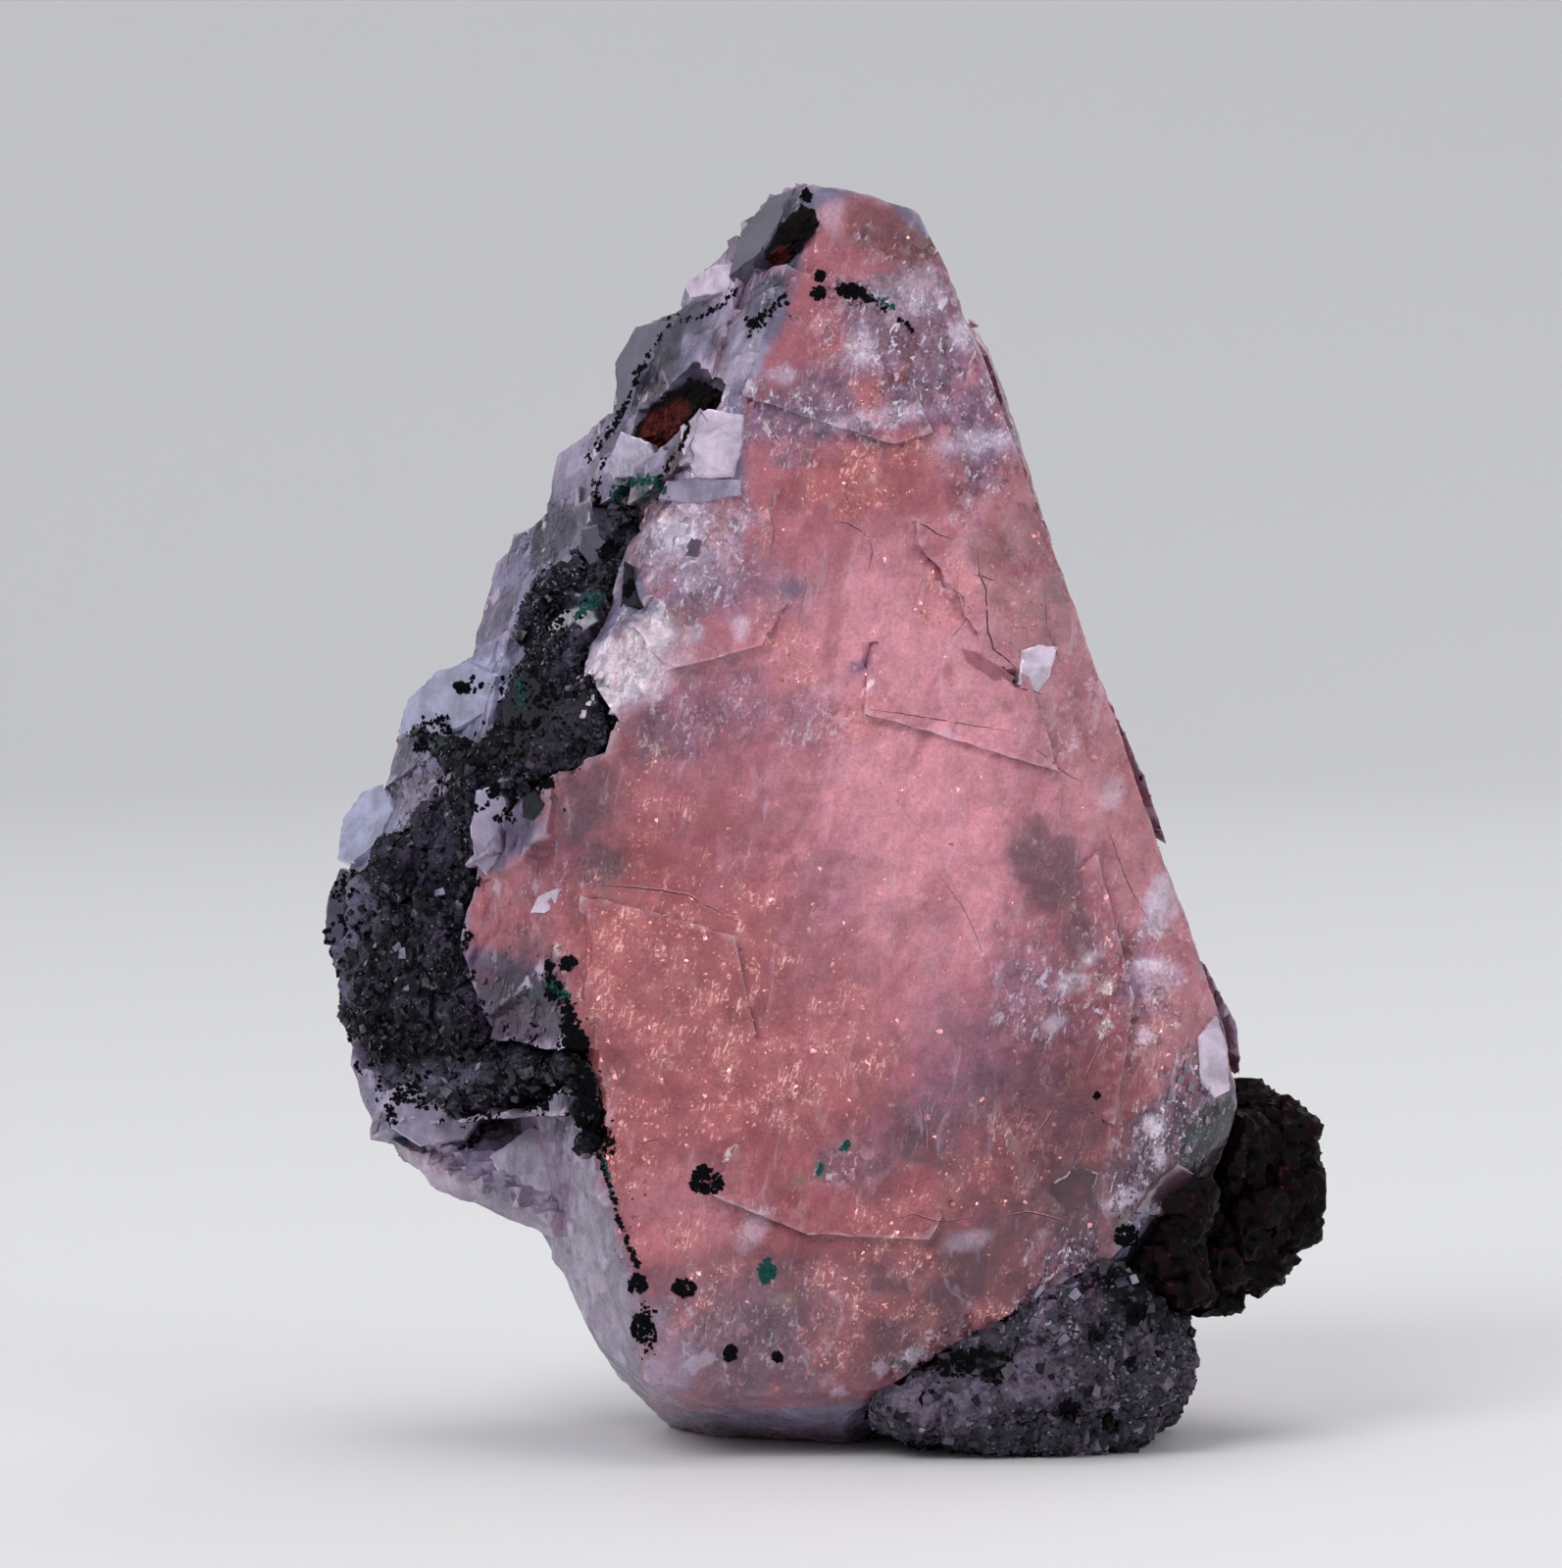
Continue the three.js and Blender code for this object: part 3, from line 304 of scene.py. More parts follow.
# Crystals and chips that stand out of the surface: their colour, outline and height in millimetres.
CRYSTALS = [
    ("periwinkle", [(409, 748), (420, 715), (452, 684), (482, 676), (513, 690), (500, 728), (474, 744),
        (440, 755)], 0.7),
    ("periwinkle", [(350, 880), (354, 838), (374, 808), (396, 800), (407, 828), (392, 864),
        (368, 884)], 0.7),
    ("slab", [(331, 962), (336, 915), (350, 886), (368, 890), (362, 932), (345, 966)], 0.6),
    ("lilac_white", [(395, 1112), (440, 1097), (493, 1092), (498, 1128), (476, 1163), (430, 1169),
        (400, 1150)], 0.5),
    ("slab", [(748, 288), (757, 240), (786, 202), (812, 192), (800, 225), (780, 262), (768, 272)], 0.5),
    ("slab", [(634, 420), (630, 372), (650, 334), (688, 326), (676, 360), (655, 392), (650, 428)], 0.5),
    ("pearl_and_highlight", [(694, 436), (722, 418), (759, 424), (757, 455), (748, 487), (712, 488), (697, 465)], 0.5),
    ("lilac_white", [(672, 509), (680, 491), (716, 487), (756, 490), (757, 506), (704, 513)], 0.35),
    ("lilac_white", [(620, 475), (634, 440), (664, 452), (672, 470), (650, 488), (628, 490)], 0.45),
    ("pearl_and_highlight", [(697, 290), (728, 272), (770, 268), (776, 280), (752, 296), (705, 304)], 0.35),
    ("lilac_white", [(481, 842), (488, 805), (510, 801), (520, 815), (518, 848), (511, 874), (497, 893),
        (486, 880)], 0.6),
    ("slab", [(592, 560), (595, 538), (612, 535), (622, 550), (617, 574), (602, 578)], 0.4),
    ("slab", [(580, 1112), (592, 1082), (606, 1094), (612, 1130), (604, 1160), (588, 1150)], 0.4),
    ("slab", [(560, 640), (576, 622), (604, 618), (612, 634), (590, 650), (566, 655)], 0.3),
    ("pearl_and_highlight", [(541, 931), (550, 914), (570, 906), (567, 922), (556, 931)], 0.16),
    ("pearl_and_highlight", [(678, 560), (676, 540), (690, 530), (703, 536), (698, 546), (686, 548), (684, 566)], 0.18),
    ("haze", [(698, 566), (706, 545), (716, 552), (712, 570)], 0.1),
    ("pearl_and_highlight", [(1041, 664), (1058, 658), (1077, 661), (1070, 690), (1058, 706), (1038, 698)], 0.28),
    ("rose", [(981, 661), (1002, 668), (1035, 690), (1030, 703), (1008, 692), (986, 674)], 0.1),
    ("pearl_and_highlight", [(1220, 1058), (1238, 1036), (1250, 1070), (1253, 1112), (1238, 1120), (1224, 1104)], 0.45),
    ("haze", [(742, 246), (752, 240), (757, 262), (747, 268)], 0.2),
    ("lilac_white", [(500, 1180), (540, 1150), (575, 1160), (600, 1210), (560, 1235), (520, 1215)], 0.2),
    ("dusk_and_shade", [(1062, 1236), (1074, 1206), (1100, 1188), (1120, 1196), (1112, 1222), (1090, 1240)], 0.12),
    ("smoke_and_shade", [(1152, 1236), (1172, 1212), (1200, 1186), (1216, 1196), (1206, 1216), (1182, 1240)], 0.25),
]
SLATE_CRYSTALS = [
    ([(534, 684), (570, 712), (602, 756), (572, 776), (545, 782), (520, 772), (513, 720)], 0.3),
    ([(536, 812), (548, 806), (562, 826), (550, 838), (534, 834)], 0.3),
    ([(633, 620), (640, 574), (648, 596), (650, 618)], 0.25),
    ([(1130, 1250), (1156, 1240), (1182, 1250), (1160, 1290), (1134, 1300)], 0.3),
]

# Black crenulated spots: place, radius in millimetres and how much wider than tall they are.
BLACK_SPOTS = [
    ((720, 1205), 0.62, 1.15), ((697, 1315), 0.46, 1.1), ((650, 1308), 0.46, 1.0), ((652, 1352), 0.5, 0.8),
    ((745, 1380), 0.4, 0.7), ((793, 1384), 0.22, 0.8), ((822, 200), 0.26, 0.8), ((837, 282), 0.26, 0.7),
    ((835, 299), 0.28, 1.2), ((868, 296), 0.34, 1.7), ((884, 304), 0.2, 0.9), ((768, 330), 0.22, 1.0),
    ((552, 801), 0.26, 2.4), ((578, 982), 0.24, 1.7), ((560, 985), 0.2, 1.0), ((1118, 1118), 0.1, 1.0),
    ((590, 1066), 0.6, 0.7), ((603, 1140), 0.62, 0.9), ((598, 1100), 0.4, 0.7), ((540, 1118), 0.7, 1.3),
    ((642, 600), 0.42, 0.5), ((978, 1392), 0.5, 1.8), ((1012, 1402), 0.4, 1.4), ((1180, 1300), 0.8, 1.0),
    ((1150, 1262), 0.5, 1.2), ((430, 760), 0.3, 1.2), ((470, 700), 0.24, 1.4), ((620, 560), 0.5, 0.8),
    ((505, 805), 0.3, 0.8), ((1090, 1436), 0.4, 1.2), ((1160, 1340), 0.5, 1.0), ((565, 1012), 0.4, 1.0),
]

# Veins of dark or teal grains: their colour, route, half width in millimetres and count.
VEINS = [
    ("black", [(803, 300), (790, 312), (778, 322), (764, 340)], 0.28, 46),
    ("black", [(860, 291), (880, 300), (900, 312), (925, 330), (932, 340)], 0.1, 40),
    ("teal", [(884, 300), (902, 308), (912, 314)], 0.1, 16),
    ("black", [(690, 318), (668, 352), (652, 378), (640, 410), (628, 432)], 0.12, 80),
    ("black", [(755, 292), (735, 312), (715, 322), (694, 326)], 0.1, 50),
    ("black", [(632, 424), (622, 442), (610, 452), (600, 470)], 0.2, 50),
    ("black", [(704, 432), (696, 452), (684, 470), (672, 488)], 0.1, 46),
    ("teal", [(626, 508), (645, 492), (668, 490), (676, 500)], 0.3, 120),
    ("teal", [(612, 606), (600, 622), (588, 628)], 0.2, 30),
    ("black", [(615, 470), (606, 500), (612, 520)], 0.2, 44),
    ("black", [(480, 690), (476, 706), (512, 690), (510, 722)], 0.14, 44),
    ("teal", [(526, 690), (532, 712), (533, 734)], 0.14, 26),
    ("black", [(418, 748), (440, 736), (458, 732)], 0.24, 60),
    ("black", [(612, 1176), (622, 1210), (630, 1240), (640, 1268), (650, 1290)], 0.1, 90),
    ("black", [(580, 1040), (588, 1075), (598, 1110), (604, 1140), (616, 1168)], 0.42, 900),
    ("teal", [(614, 1180), (620, 1196), (624, 1226)], 0.06, 20),
    ("black", [(655, 1330), (664, 1352), (660, 1378)], 0.3, 60),
    ("black", [(400, 1148), (398, 1128), (420, 1100), (450, 1092)], 0.2, 70),
    ("black", [(470, 1172), (490, 1160), (500, 1136), (505, 1110)], 0.16, 60),
    ("black", [(938, 1396), (965, 1384), (1000, 1378), (1029, 1386)], 0.24, 150),
    ("black", [(556, 990), (566, 1006), (576, 1024), (584, 1040)], 0.26, 70),
    ("teal", [(556, 1000), (566, 1010), (574, 1014)], 0.24, 36),
    ("black", [(532, 700), (560, 726), (590, 758)], 0.6, 60),
    ("teal", [(858, 1172), (866, 1164)], 0.12, 12), ("teal", [(833, 1198), (838, 1188)], 0.1, 8),
]

# The part of the photograph where dark crumbs spill over from the dark rock, by two corners.
FLANK_WINDOW = ((320, 560), (592, 1180))

# Cracks seen in the clear skin: route and width in millimetres.
CRACKS = [
    ([(851, 531), (864, 533), (876, 540), (885, 548)], 0.07), ([(885, 548), (890, 562), (886, 580)], 0.05),
    ([(927, 531), (945, 536), (955, 544), (973, 550)], 0.09),
    ([(997, 560), (999, 585), (1006, 602), (1007, 640), (1013, 662), (1027, 672), (1036, 682),
        (1040, 700)], 0.1),
    ([(1036, 700), (1048, 704), (1062, 708)], 0.09), ([(993, 586), (1004, 588), (1014, 592)], 0.08),
    ([(880, 722), (920, 728), (970, 736), (1030, 746)], 0.05),
    ([(1050, 760), (1068, 772), (1088, 790), (1104, 798)], 0.06),
    ([(600, 902), (650, 905), (700, 912), (752, 940)], 0.07), ([(783, 512), (790, 540), (786, 570)], 0.05),
    ([(940, 1125), (944, 1150), (946, 1178)], 0.06), ([(1058, 1156), (1068, 1142), (1076, 1126)], 0.06),
    ([(870, 480), (862, 500), (868, 520)], 0.05), ([(1098, 1118), (1120, 1070), (1136, 1040)], 0.04),
    ([(996, 612), (980, 640), (960, 660)], 0.03),
    ([(905, 1245), (930, 1238), (958, 1246), (1000, 1240)], 0.05),
    ([(1020, 1240), (1050, 1236), (1075, 1242), (1096, 1248)], 0.06),
    ([(700, 395), (708, 412), (722, 430)], 0.05), ([(640, 1160), (655, 1166), (680, 1158)], 0.05),
    ([(780, 425), (790, 445), (804, 462)], 0.05), ([(1065, 600), (1068, 640), (1080, 672)], 0.04),
    ([(820, 560), (822, 600), (812, 640)], 0.03), ([(950, 880), (985, 930), (1010, 990)], 0.03),
    ([(1128, 840), (1150, 900), (1172, 940)], 0.05),
]


# PropertyGroups: the sizes and colours that a user would change


def tone(label, value):
    """A colour setting of the stone."""
    return FloatVectorProperty(
        name=label, description=f"{label} of the stone", subtype="COLOR", size=3, min=0, max=1, default=value
    )


def length(label, about, millimetres):
    """A length setting of the stone, kept in metres."""
    return FloatProperty(name=label, description=about, default=millimetres * MM, unit="LENGTH")


def amount(label, about, value):
    """A whole number among the settings."""
    return IntProperty(name=label, description=about, default=value, min=0)


def light_power(label, about, value):
    """How strong a light is."""
    return FloatProperty(name=label, description=about, default=value, min=0)


class CalciteLook(bpy.types.PropertyGroup):
    """Sizes and colours of the crystal."""

    cell: length("Face size", "Size of the crystal's mesh faces", 0.266)
    coarse_step: length("Coarse step", "Height of the larger cleavage steps", 1.7)
    fine_step: length("Fine step", "Height of the smaller cleavage steps", 0.75)
    roughness: FloatProperty(
        name="Roughness",
        description="Roughness of the crystal's surface",
        default=0.24,
        min=0,
        max=1,
        subtype="FACTOR",
    )
    rose: tone("Rose", (0.345, 0.112, 0.15))
    # Light rose: the front's own paler rose, also partly painted light in the middle of the front and the
    # painted highlight on crack lips.
    pale_rose_and_highlight: tone("Light rose", (0.6, 0.25, 0.315))
    salmon: tone("Salmon", (0.265, 0.062, 0.076))
    # Copper glow: the salmon tint of copper in the crystal, partly a painted glow where the flecks crowd.
    glow: tone("Copper glow", (0.5, 0.16, 0.165))
    # Painted glints of the copper, in fine pale salmon streaks.
    painted_shimmer: tone("Shimmer", (0.95, 0.55, 0.5))
    # Dusky rose: the crystal's own dark rose, also the painted shade on the lower front, along the right edge
    # and in cracks.
    dusk_and_shade: tone("Dusky rose", (0.084, 0.028, 0.045))
    haze: tone("Lilac haze", (0.15, 0.09, 0.165))
    # Painted glints of the broken crystal.
    painted_glint: tone("Bright glints", (0.8, 0.74, 0.88))
    # Pearl: the crystal's own pale tone, also painted highlights on edges and painted glints in streaks.
    pearl_and_highlight: tone("Pearl", (0.6, 0.5, 0.64))
    # Smoky spots: the crystal's own smoky tone, also painted shade in hollows.
    smoke_and_shade: tone("Smoky spots", (0.1, 0.05, 0.07))
    lilac_dusk: tone("Smoky lilac", (0.042, 0.02, 0.056))
    lilac_grain: tone("Grainy lilac", (0.09, 0.047, 0.087))
    lilac_white: tone("Lilac white", (0.34, 0.29, 0.42))
    lilac_low: tone("Low lilac white", (0.26, 0.215, 0.3))
    lilac_rose: tone("Lilac rose", (0.15, 0.085, 0.125))
    leaf: tone("Grey leaf", (0.13, 0.065, 0.09))
    facet: tone("Clear brown facet", (0.2, 0.07, 0.085))
    dark_red: tone("Dark red", (0.09, 0.008, 0.01))
    moss: tone("Yellow green", (0.3, 0.27, 0.12))
    moss_green: tone("Green specks", (0.09, 0.17, 0.09))
    slab: tone("Bluish slab", (0.066, 0.06, 0.108))
    flank_grey: tone("Grey flank", (0.065, 0.06, 0.095))
    flank_white: tone("Flank", (0.165, 0.145, 0.235))
    periwinkle: tone("Periwinkle slab", (0.33, 0.335, 0.52))
    cream: tone("Cream", (0.74, 0.62, 0.72))
    teal: tone("Teal", (0.012, 0.07, 0.065))
    slate: tone("Slate", (0.019, 0.02, 0.025))
    crumb: tone("Black crumbs", (0.004, 0.004, 0.005))


class FleckLook(bpy.types.PropertyGroup):
    """Copper flecks in the crystal."""

    count: amount("Count", "Flecks in the crystal's surface", 4500)
    smallest: length("Smallest", "Width of the smallest fleck", 0.035)
    largest: length("Largest", "Width of the largest fleck", 0.11)
    copper: tone("Bright copper", (0.85, 0.36, 0.33))


class RockLook(bpy.types.PropertyGroup):
    """Sizes and colours of the dark rock and the grey rock."""

    cell: length("Face size", "Size of the rocks' mesh faces", 0.17)
    grain: length("Grain", "Width of a rock grain", 0.5)
    relief: length("Relief", "Height of a rock grain", 0.24)
    softening: amount("Softening", "Rounds that even out the rocks' coarse lumps", 70)
    closing: length("Closing", "How far the rocks grow to close their contacts", 0.5)
    loose_grains: amount("Grains", "Angular grains set in the rocks", 4000)
    black: tone("Black", (0.002, 0.002, 0.003))
    navy: tone("Navy", (0.006, 0.006, 0.016))
    green: tone("Green", (0.006, 0.016, 0.015))
    grey: tone("Grey", (0.04, 0.038, 0.052))
    pale: tone("Pale grains", (0.22, 0.2, 0.28))
    teal: tone("Teal", (0.008, 0.06, 0.055))
    slate: tone("Slate", (0.028, 0.026, 0.038))
    smoky_lilac: tone("Smoky lilac", (0.046, 0.035, 0.064))
    lilac: tone("Lilac", (0.15, 0.135, 0.21))
    foot_grey: tone("Foot grey", (0.042, 0.036, 0.052))
    foot_dark: tone("Foot dark", (0.008, 0.007, 0.011))
    foot_lilac: tone("Foot lilac", (0.13, 0.1, 0.145))


class CopperLook(bpy.types.PropertyGroup):
    """Sizes and colours of the sponge and the sheets."""

    cell: length("Face size", "Size of the copper's mesh faces", 0.13)
    pit: length("Pit", "Width of a pit in the sponge", 0.85)
    pit_depth: length("Pit depth", "Depth of a pit", 0.45)
    tarnish: tone("Black tarnish", (0.0025, 0.0015, 0.002))
    crest: tone("Brown crests", (0.012, 0.0035, 0.004))
    red: tone("Red copper", (0.13, 0.024, 0.017))
    blush: tone("Orange copper", (0.12, 0.028, 0.02))


class StageLook(bpy.types.PropertyGroup):
    """The floor and the light."""

    floor: tone("Floor", (0.86, 0.86, 0.87))
    key_power: light_power("Key", "Power of the key light in watts", 2.0)
    fill_power: light_power("Fill", "Power of the fill light in watts", 0.7)
    top_power: light_power("Top", "Power of the top light in watts", 0.8)
    back_power: light_power("Back", "Power of the back light in watts", 0.6)
    world: light_power("World", "Brightness of the surroundings", 0.42)


# Places


def smooth(low, high, value):
    """Zero below low, one above high and a smooth rise between. Low may be the larger."""
    share = np.clip((value - low) / (high - low), 0, 1)
    return share * share * (3 - 2 * share)


def in_photo(points):
    """The pixel of the photograph where each point is seen. Points are in millimetres."""
    from_eye = points - EYE
    scale = PX_PER_MM * np.linalg.norm(AIM - EYE) / (from_eye @ SIGHT)
    across = FRAME_PX[0] / 2 + from_eye @ RIGHT * scale
    down = FRAME_PX[1] / 2 - from_eye @ UP * scale
    return np.stack([across, down], axis=1)


def way_through(pixel):
    """The way from the camera through a pixel of the photograph, in millimetres."""
    across = (pixel[0] - FRAME_PX[0] / 2) / PX_PER_MM
    up = (FRAME_PX[1] / 2 - pixel[1]) / PX_PER_MM
    return AIM + RIGHT * across + UP * up - EYE


def landing(tree, pixel):
    """Where the line of sight through a pixel first meets a surface, in millimetres, and the normal there."""
    place, normal, _, _ = tree.ray_cast(Vector(EYE), Vector(way_through(pixel)).normalized())
    return place, normal


def field(points, size, shift=0.0, octaves=3):
    """Smooth noise about zero at each point, with swells of about the given size in millimetres."""
    offset = Vector((shift, 2.3 * shift, -1.7 * shift))
    return np.array([noise.fractal(Vector(point) / size + offset, 1.0, 2.0, octaves) for point in points])


def patch_mask(pixels, ragged, place, reach, turn, soft):
    """How far each seen point lies inside an oval patch, from zero to one. Ragged noise frays its rim."""
    offset = (pixels - np.array(place)) / PX_PER_MM
    angle = math.radians(turn)
    along = offset[:, 0] * math.cos(angle) - offset[:, 1] * math.sin(angle)
    across = offset[:, 0] * math.sin(angle) + offset[:, 1] * math.cos(angle)
    radius = np.hypot(along / reach[0], across / reach[1]) + ragged
    return smooth(1 + soft, 1 - soft, radius)


def inside_outline(pixels, outline):
    """Distance in pixels of each point to an outline, positive inside."""
    nearest = np.full(len(pixels), 1e9)
    inside = np.zeros(len(pixels), bool)
    for start, end in zip(outline, outline[1:] + outline[:1]):
        (x0, y0), (x1, y1) = start, end
        run = np.array((x1 - x0, y1 - y0), float)
        share = np.clip(((pixels - start) @ run) / (run @ run), 0, 1)
        gap = pixels - (np.array(start) + share[:, None] * run)
        nearest = np.minimum(nearest, np.hypot(gap[:, 0], gap[:, 1]))
        crosses = (pixels[:, 1] > y0) != (pixels[:, 1] > y1)
        reach = x0 + (pixels[:, 1] - y0) * (x1 - x0) / ((y1 - y0) or 1e-9)
        inside ^= crosses & (pixels[:, 0] < reach)
    return np.where(inside, nearest, -nearest)


# Meshes


def points_of(mesh):
    """A mesh's vertices in millimetres."""
    flat = np.empty(len(mesh.vertices) * 3)
    mesh.vertices.foreach_get("co", flat)
    return flat.reshape(-1, 3) / MM


def normals_of(mesh):
    """A mesh's vertex normals."""
    flat = np.empty(len(mesh.vertices) * 3)
    mesh.vertices.foreach_get("normal", flat)
    return flat.reshape(-1, 3)


def move_points(mesh, points):
    """Put a mesh's vertices at places in millimetres."""
    mesh.vertices.foreach_set("co", (points * MM).ravel())
    mesh.update()


def give(mesh, name, values):
    """Store one number or one colour for every vertex."""
    if values.ndim == 1:
        layer = mesh.attributes.new(name, "FLOAT", "POINT")
        layer.data.foreach_set("value", values)
        return
    layer = mesh.attributes.new(name, "FLOAT_COLOR", "POINT")
    layer.data.foreach_set("color", np.column_stack([values, np.ones(len(values))]).ravel())


def dense_mesh(node, cell):
    """A node's solid rebuilt from even faces of about one cell, with its edges kept sharp."""
    scratch = bpy.data.objects.new("scratch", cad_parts[node].data.copy())
    bpy.context.scene.collection.objects.link(scratch)
    welded = bmesh.new()
    welded.from_mesh(scratch.data)
    bmesh.ops.remove_doubles(welded, verts=welded.verts, dist=1e-6)
    welded.to_mesh(scratch.data)
    welded.free()
    points = points_of(scratch.data)
    span = float((points.max(axis=0) - points.min(axis=0)).max()) * MM
    depth = math.ceil(math.log2(span / (0.95 * cell)))
    rebuild = scratch.modifiers.new("even faces", "REMESH")
    rebuild.mode = "SHARP"
    rebuild.octree_depth = depth
    rebuild.scale = span / (cell * 2**depth)
    rebuild.use_remove_disconnected = False
    mesh = bpy.data.meshes.new_from_object(scratch.evaluated_get(bpy.context.evaluated_depsgraph_get()))
    bpy.data.objects.remove(scratch)
    return mesh


def spread_out(mesh, values, rounds, share=1.0):
    """Values drawn in rounds towards those of their neighbours on a mesh, each by a share of the way."""
    edges = np.empty(len(mesh.edges) * 2, int)
    mesh.edges.foreach_get("vertices", edges)
    first, second = edges.reshape(-1, 2).T
    total = len(values)
    neighbours = np.maximum(np.bincount(edges, minlength=total), 1)
    for _ in range(rounds):
        middle = np.bincount(first, values[second], total) + np.bincount(second, values[first], total)
        values = values + 0.5 * share * (middle / neighbours - values)
    return values


def even_out(mesh, rounds, share=1.0):
    """Smooth a mesh by moving every point towards the middle of its neighbours."""
    points = points_of(mesh)
    move_points(mesh, np.stack([spread_out(mesh, row, rounds, share) for row in points.T], axis=1))


def settle(mesh, node, slack=0.35):
    """Bring back points that the rebuild threw off the node's surface."""
    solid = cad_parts[node].data
    tree = BVHTree.FromPolygons([v.co / MM for v in solid.vertices], [p.vertices for p in solid.polygons])
    points = points_of(mesh)
    for index, point in enumerate(points):
        near, _, _, distance = tree.find_nearest(Vector(point))
        if distance > slack:
            points[index] = near
    move_points(mesh, points)


def kept_in_box(points, node):
    """Points held inside the box of their node."""
    low, high = (np.array(corner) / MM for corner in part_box(node))
    return np.clip(points, low, high)


def terraced(points, step, sharp=0.16, wander=0.5):
    """Points moved to cleavage planes a step apart, so that a slope turns into stairs. Millimetres."""
    drift = np.stack([field(points, 4 * step, shift) for shift in (3, 11, 23)], axis=1) * wander * step
    along = points @ TO_CLEAVAGE + drift
    count = along / step
    whole = np.floor(count)
    stairs = (whole + smooth(0.5 - sharp, 0.5 + sharp, count - whole)) * step
    return (stairs - along) @ CLEAVAGE


def as_piece(name, mesh, material, replaces=(), sharp_angle=None):
    """Show a mesh as a piece of the stone that rides on its body."""
    mesh.name = name
    piece = bpy.data.objects.new(name, mesh)
    bpy.context.scene.collection.objects.link(piece)
    mesh.materials.clear()
    mesh.materials.append(material)
    mesh.shade_smooth()
    if sharp_angle is not None:
        mesh.set_sharp_from_angle(angle=math.radians(sharp_angle))
    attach(piece, BODY)
    if replaces:
        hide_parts(*replaces)
    return piece


def surface_tree(names):
    """A search tree over finished pieces together, in millimetres."""
    points = []
    faces = []
    for name in names:
        mesh = bpy.data.objects[name].data
        start = len(points)
        points += [vertex.co / MM for vertex in mesh.vertices]
        faces += [[start + corner for corner in face.vertices] for face in mesh.polygons]
    return BVHTree.FromPolygons(points, faces)


class Heap:
    """Many small solids collected in one mesh, each with its own colour."""

    def __init__(self):
        self.points = []
        self.faces = []
        self.tones = []

    def add(self, points, faces, colour):
        """Add one solid from its points in millimetres and its faces."""
        start = len(self.points)
        self.points.extend((point[0], point[1], max(0.0, point[2])) for point in points)
        self.faces.extend(tuple(start + corner for corner in face) for face in faces)
        self.tones.extend([tuple(colour)] * len(points))

    def mesh(self, name):
        """The whole heap as a mesh in metres with a colour on every vertex."""
        mesh = bpy.data.meshes.new(name)
        mesh.from_pydata([Vector(point) * MM for point in self.points], [], self.faces)
        mesh.update()
        give(mesh, "tint", np.array(self.tones, float))
        return mesh


BOX_CORNERS = np.array([(x, y, z) for x in (-1, 1) for y in (-1, 1) for z in (-1, 1)], float)
BOX_FACES = [(0, 1, 3, 2), (4, 6, 7, 5), (0, 4, 5, 1), (2, 3, 7, 6), (0, 2, 6, 4), (1, 5, 7, 3)]


def across_to(normal, dice):
    """Two directions along a surface, at a random turn, and its normal."""
    normal = Vector(normal).normalized()
    side = Vector((dice.uniform(-1, 1), dice.uniform(-1, 1), dice.uniform(-1, 1))).cross(normal).normalized()
    return np.array((side, normal.cross(side), normal))


def angular_grain(heap, place, normal, size, colour, dice, flat=0.6):
    """One angular grain: a skewed block with moved corners, part sunk in what carries it."""
    axes = across_to(normal, dice)
    corners = BOX_CORNERS * (1, dice.uniform(0.55, 1), flat * dice.uniform(0.7, 1.2))
    jitter = np.array([[dice.uniform(-0.3, 0.3) for _ in range(3)] for _ in corners])
    tilt = Vector((dice.uniform(-0.5, 0.5), dice.uniform(-0.5, 0.5), 1)).normalized()
    tilted = np.array((Vector((1, 0, -tilt.x)).normalized(), Vector((0, 1, -tilt.y)).normalized(), tilt))
    heap.add(np.array(place) + (corners + jitter) @ tilted @ axes * size / 2, BOX_FACES, colour)


def ring_faces(count, rings, start=0):
    """Four-sided faces between rings of points that follow each other in a mesh."""
    faces = []
    for low in range(start, start + (rings - 1) * count, count):
        faces += [(low + k, low + count + k, low + count + (k + 1) % count, low + (k + 1) % count)
                  for k in range(count)]
    return faces


def sight_on_plane(pixel, place, normal):
    """Where the line of sight through a pixel meets a plane, in millimetres."""
    way = way_through(pixel)
    return EYE + way * ((place - EYE) @ normal) / (way @ normal)


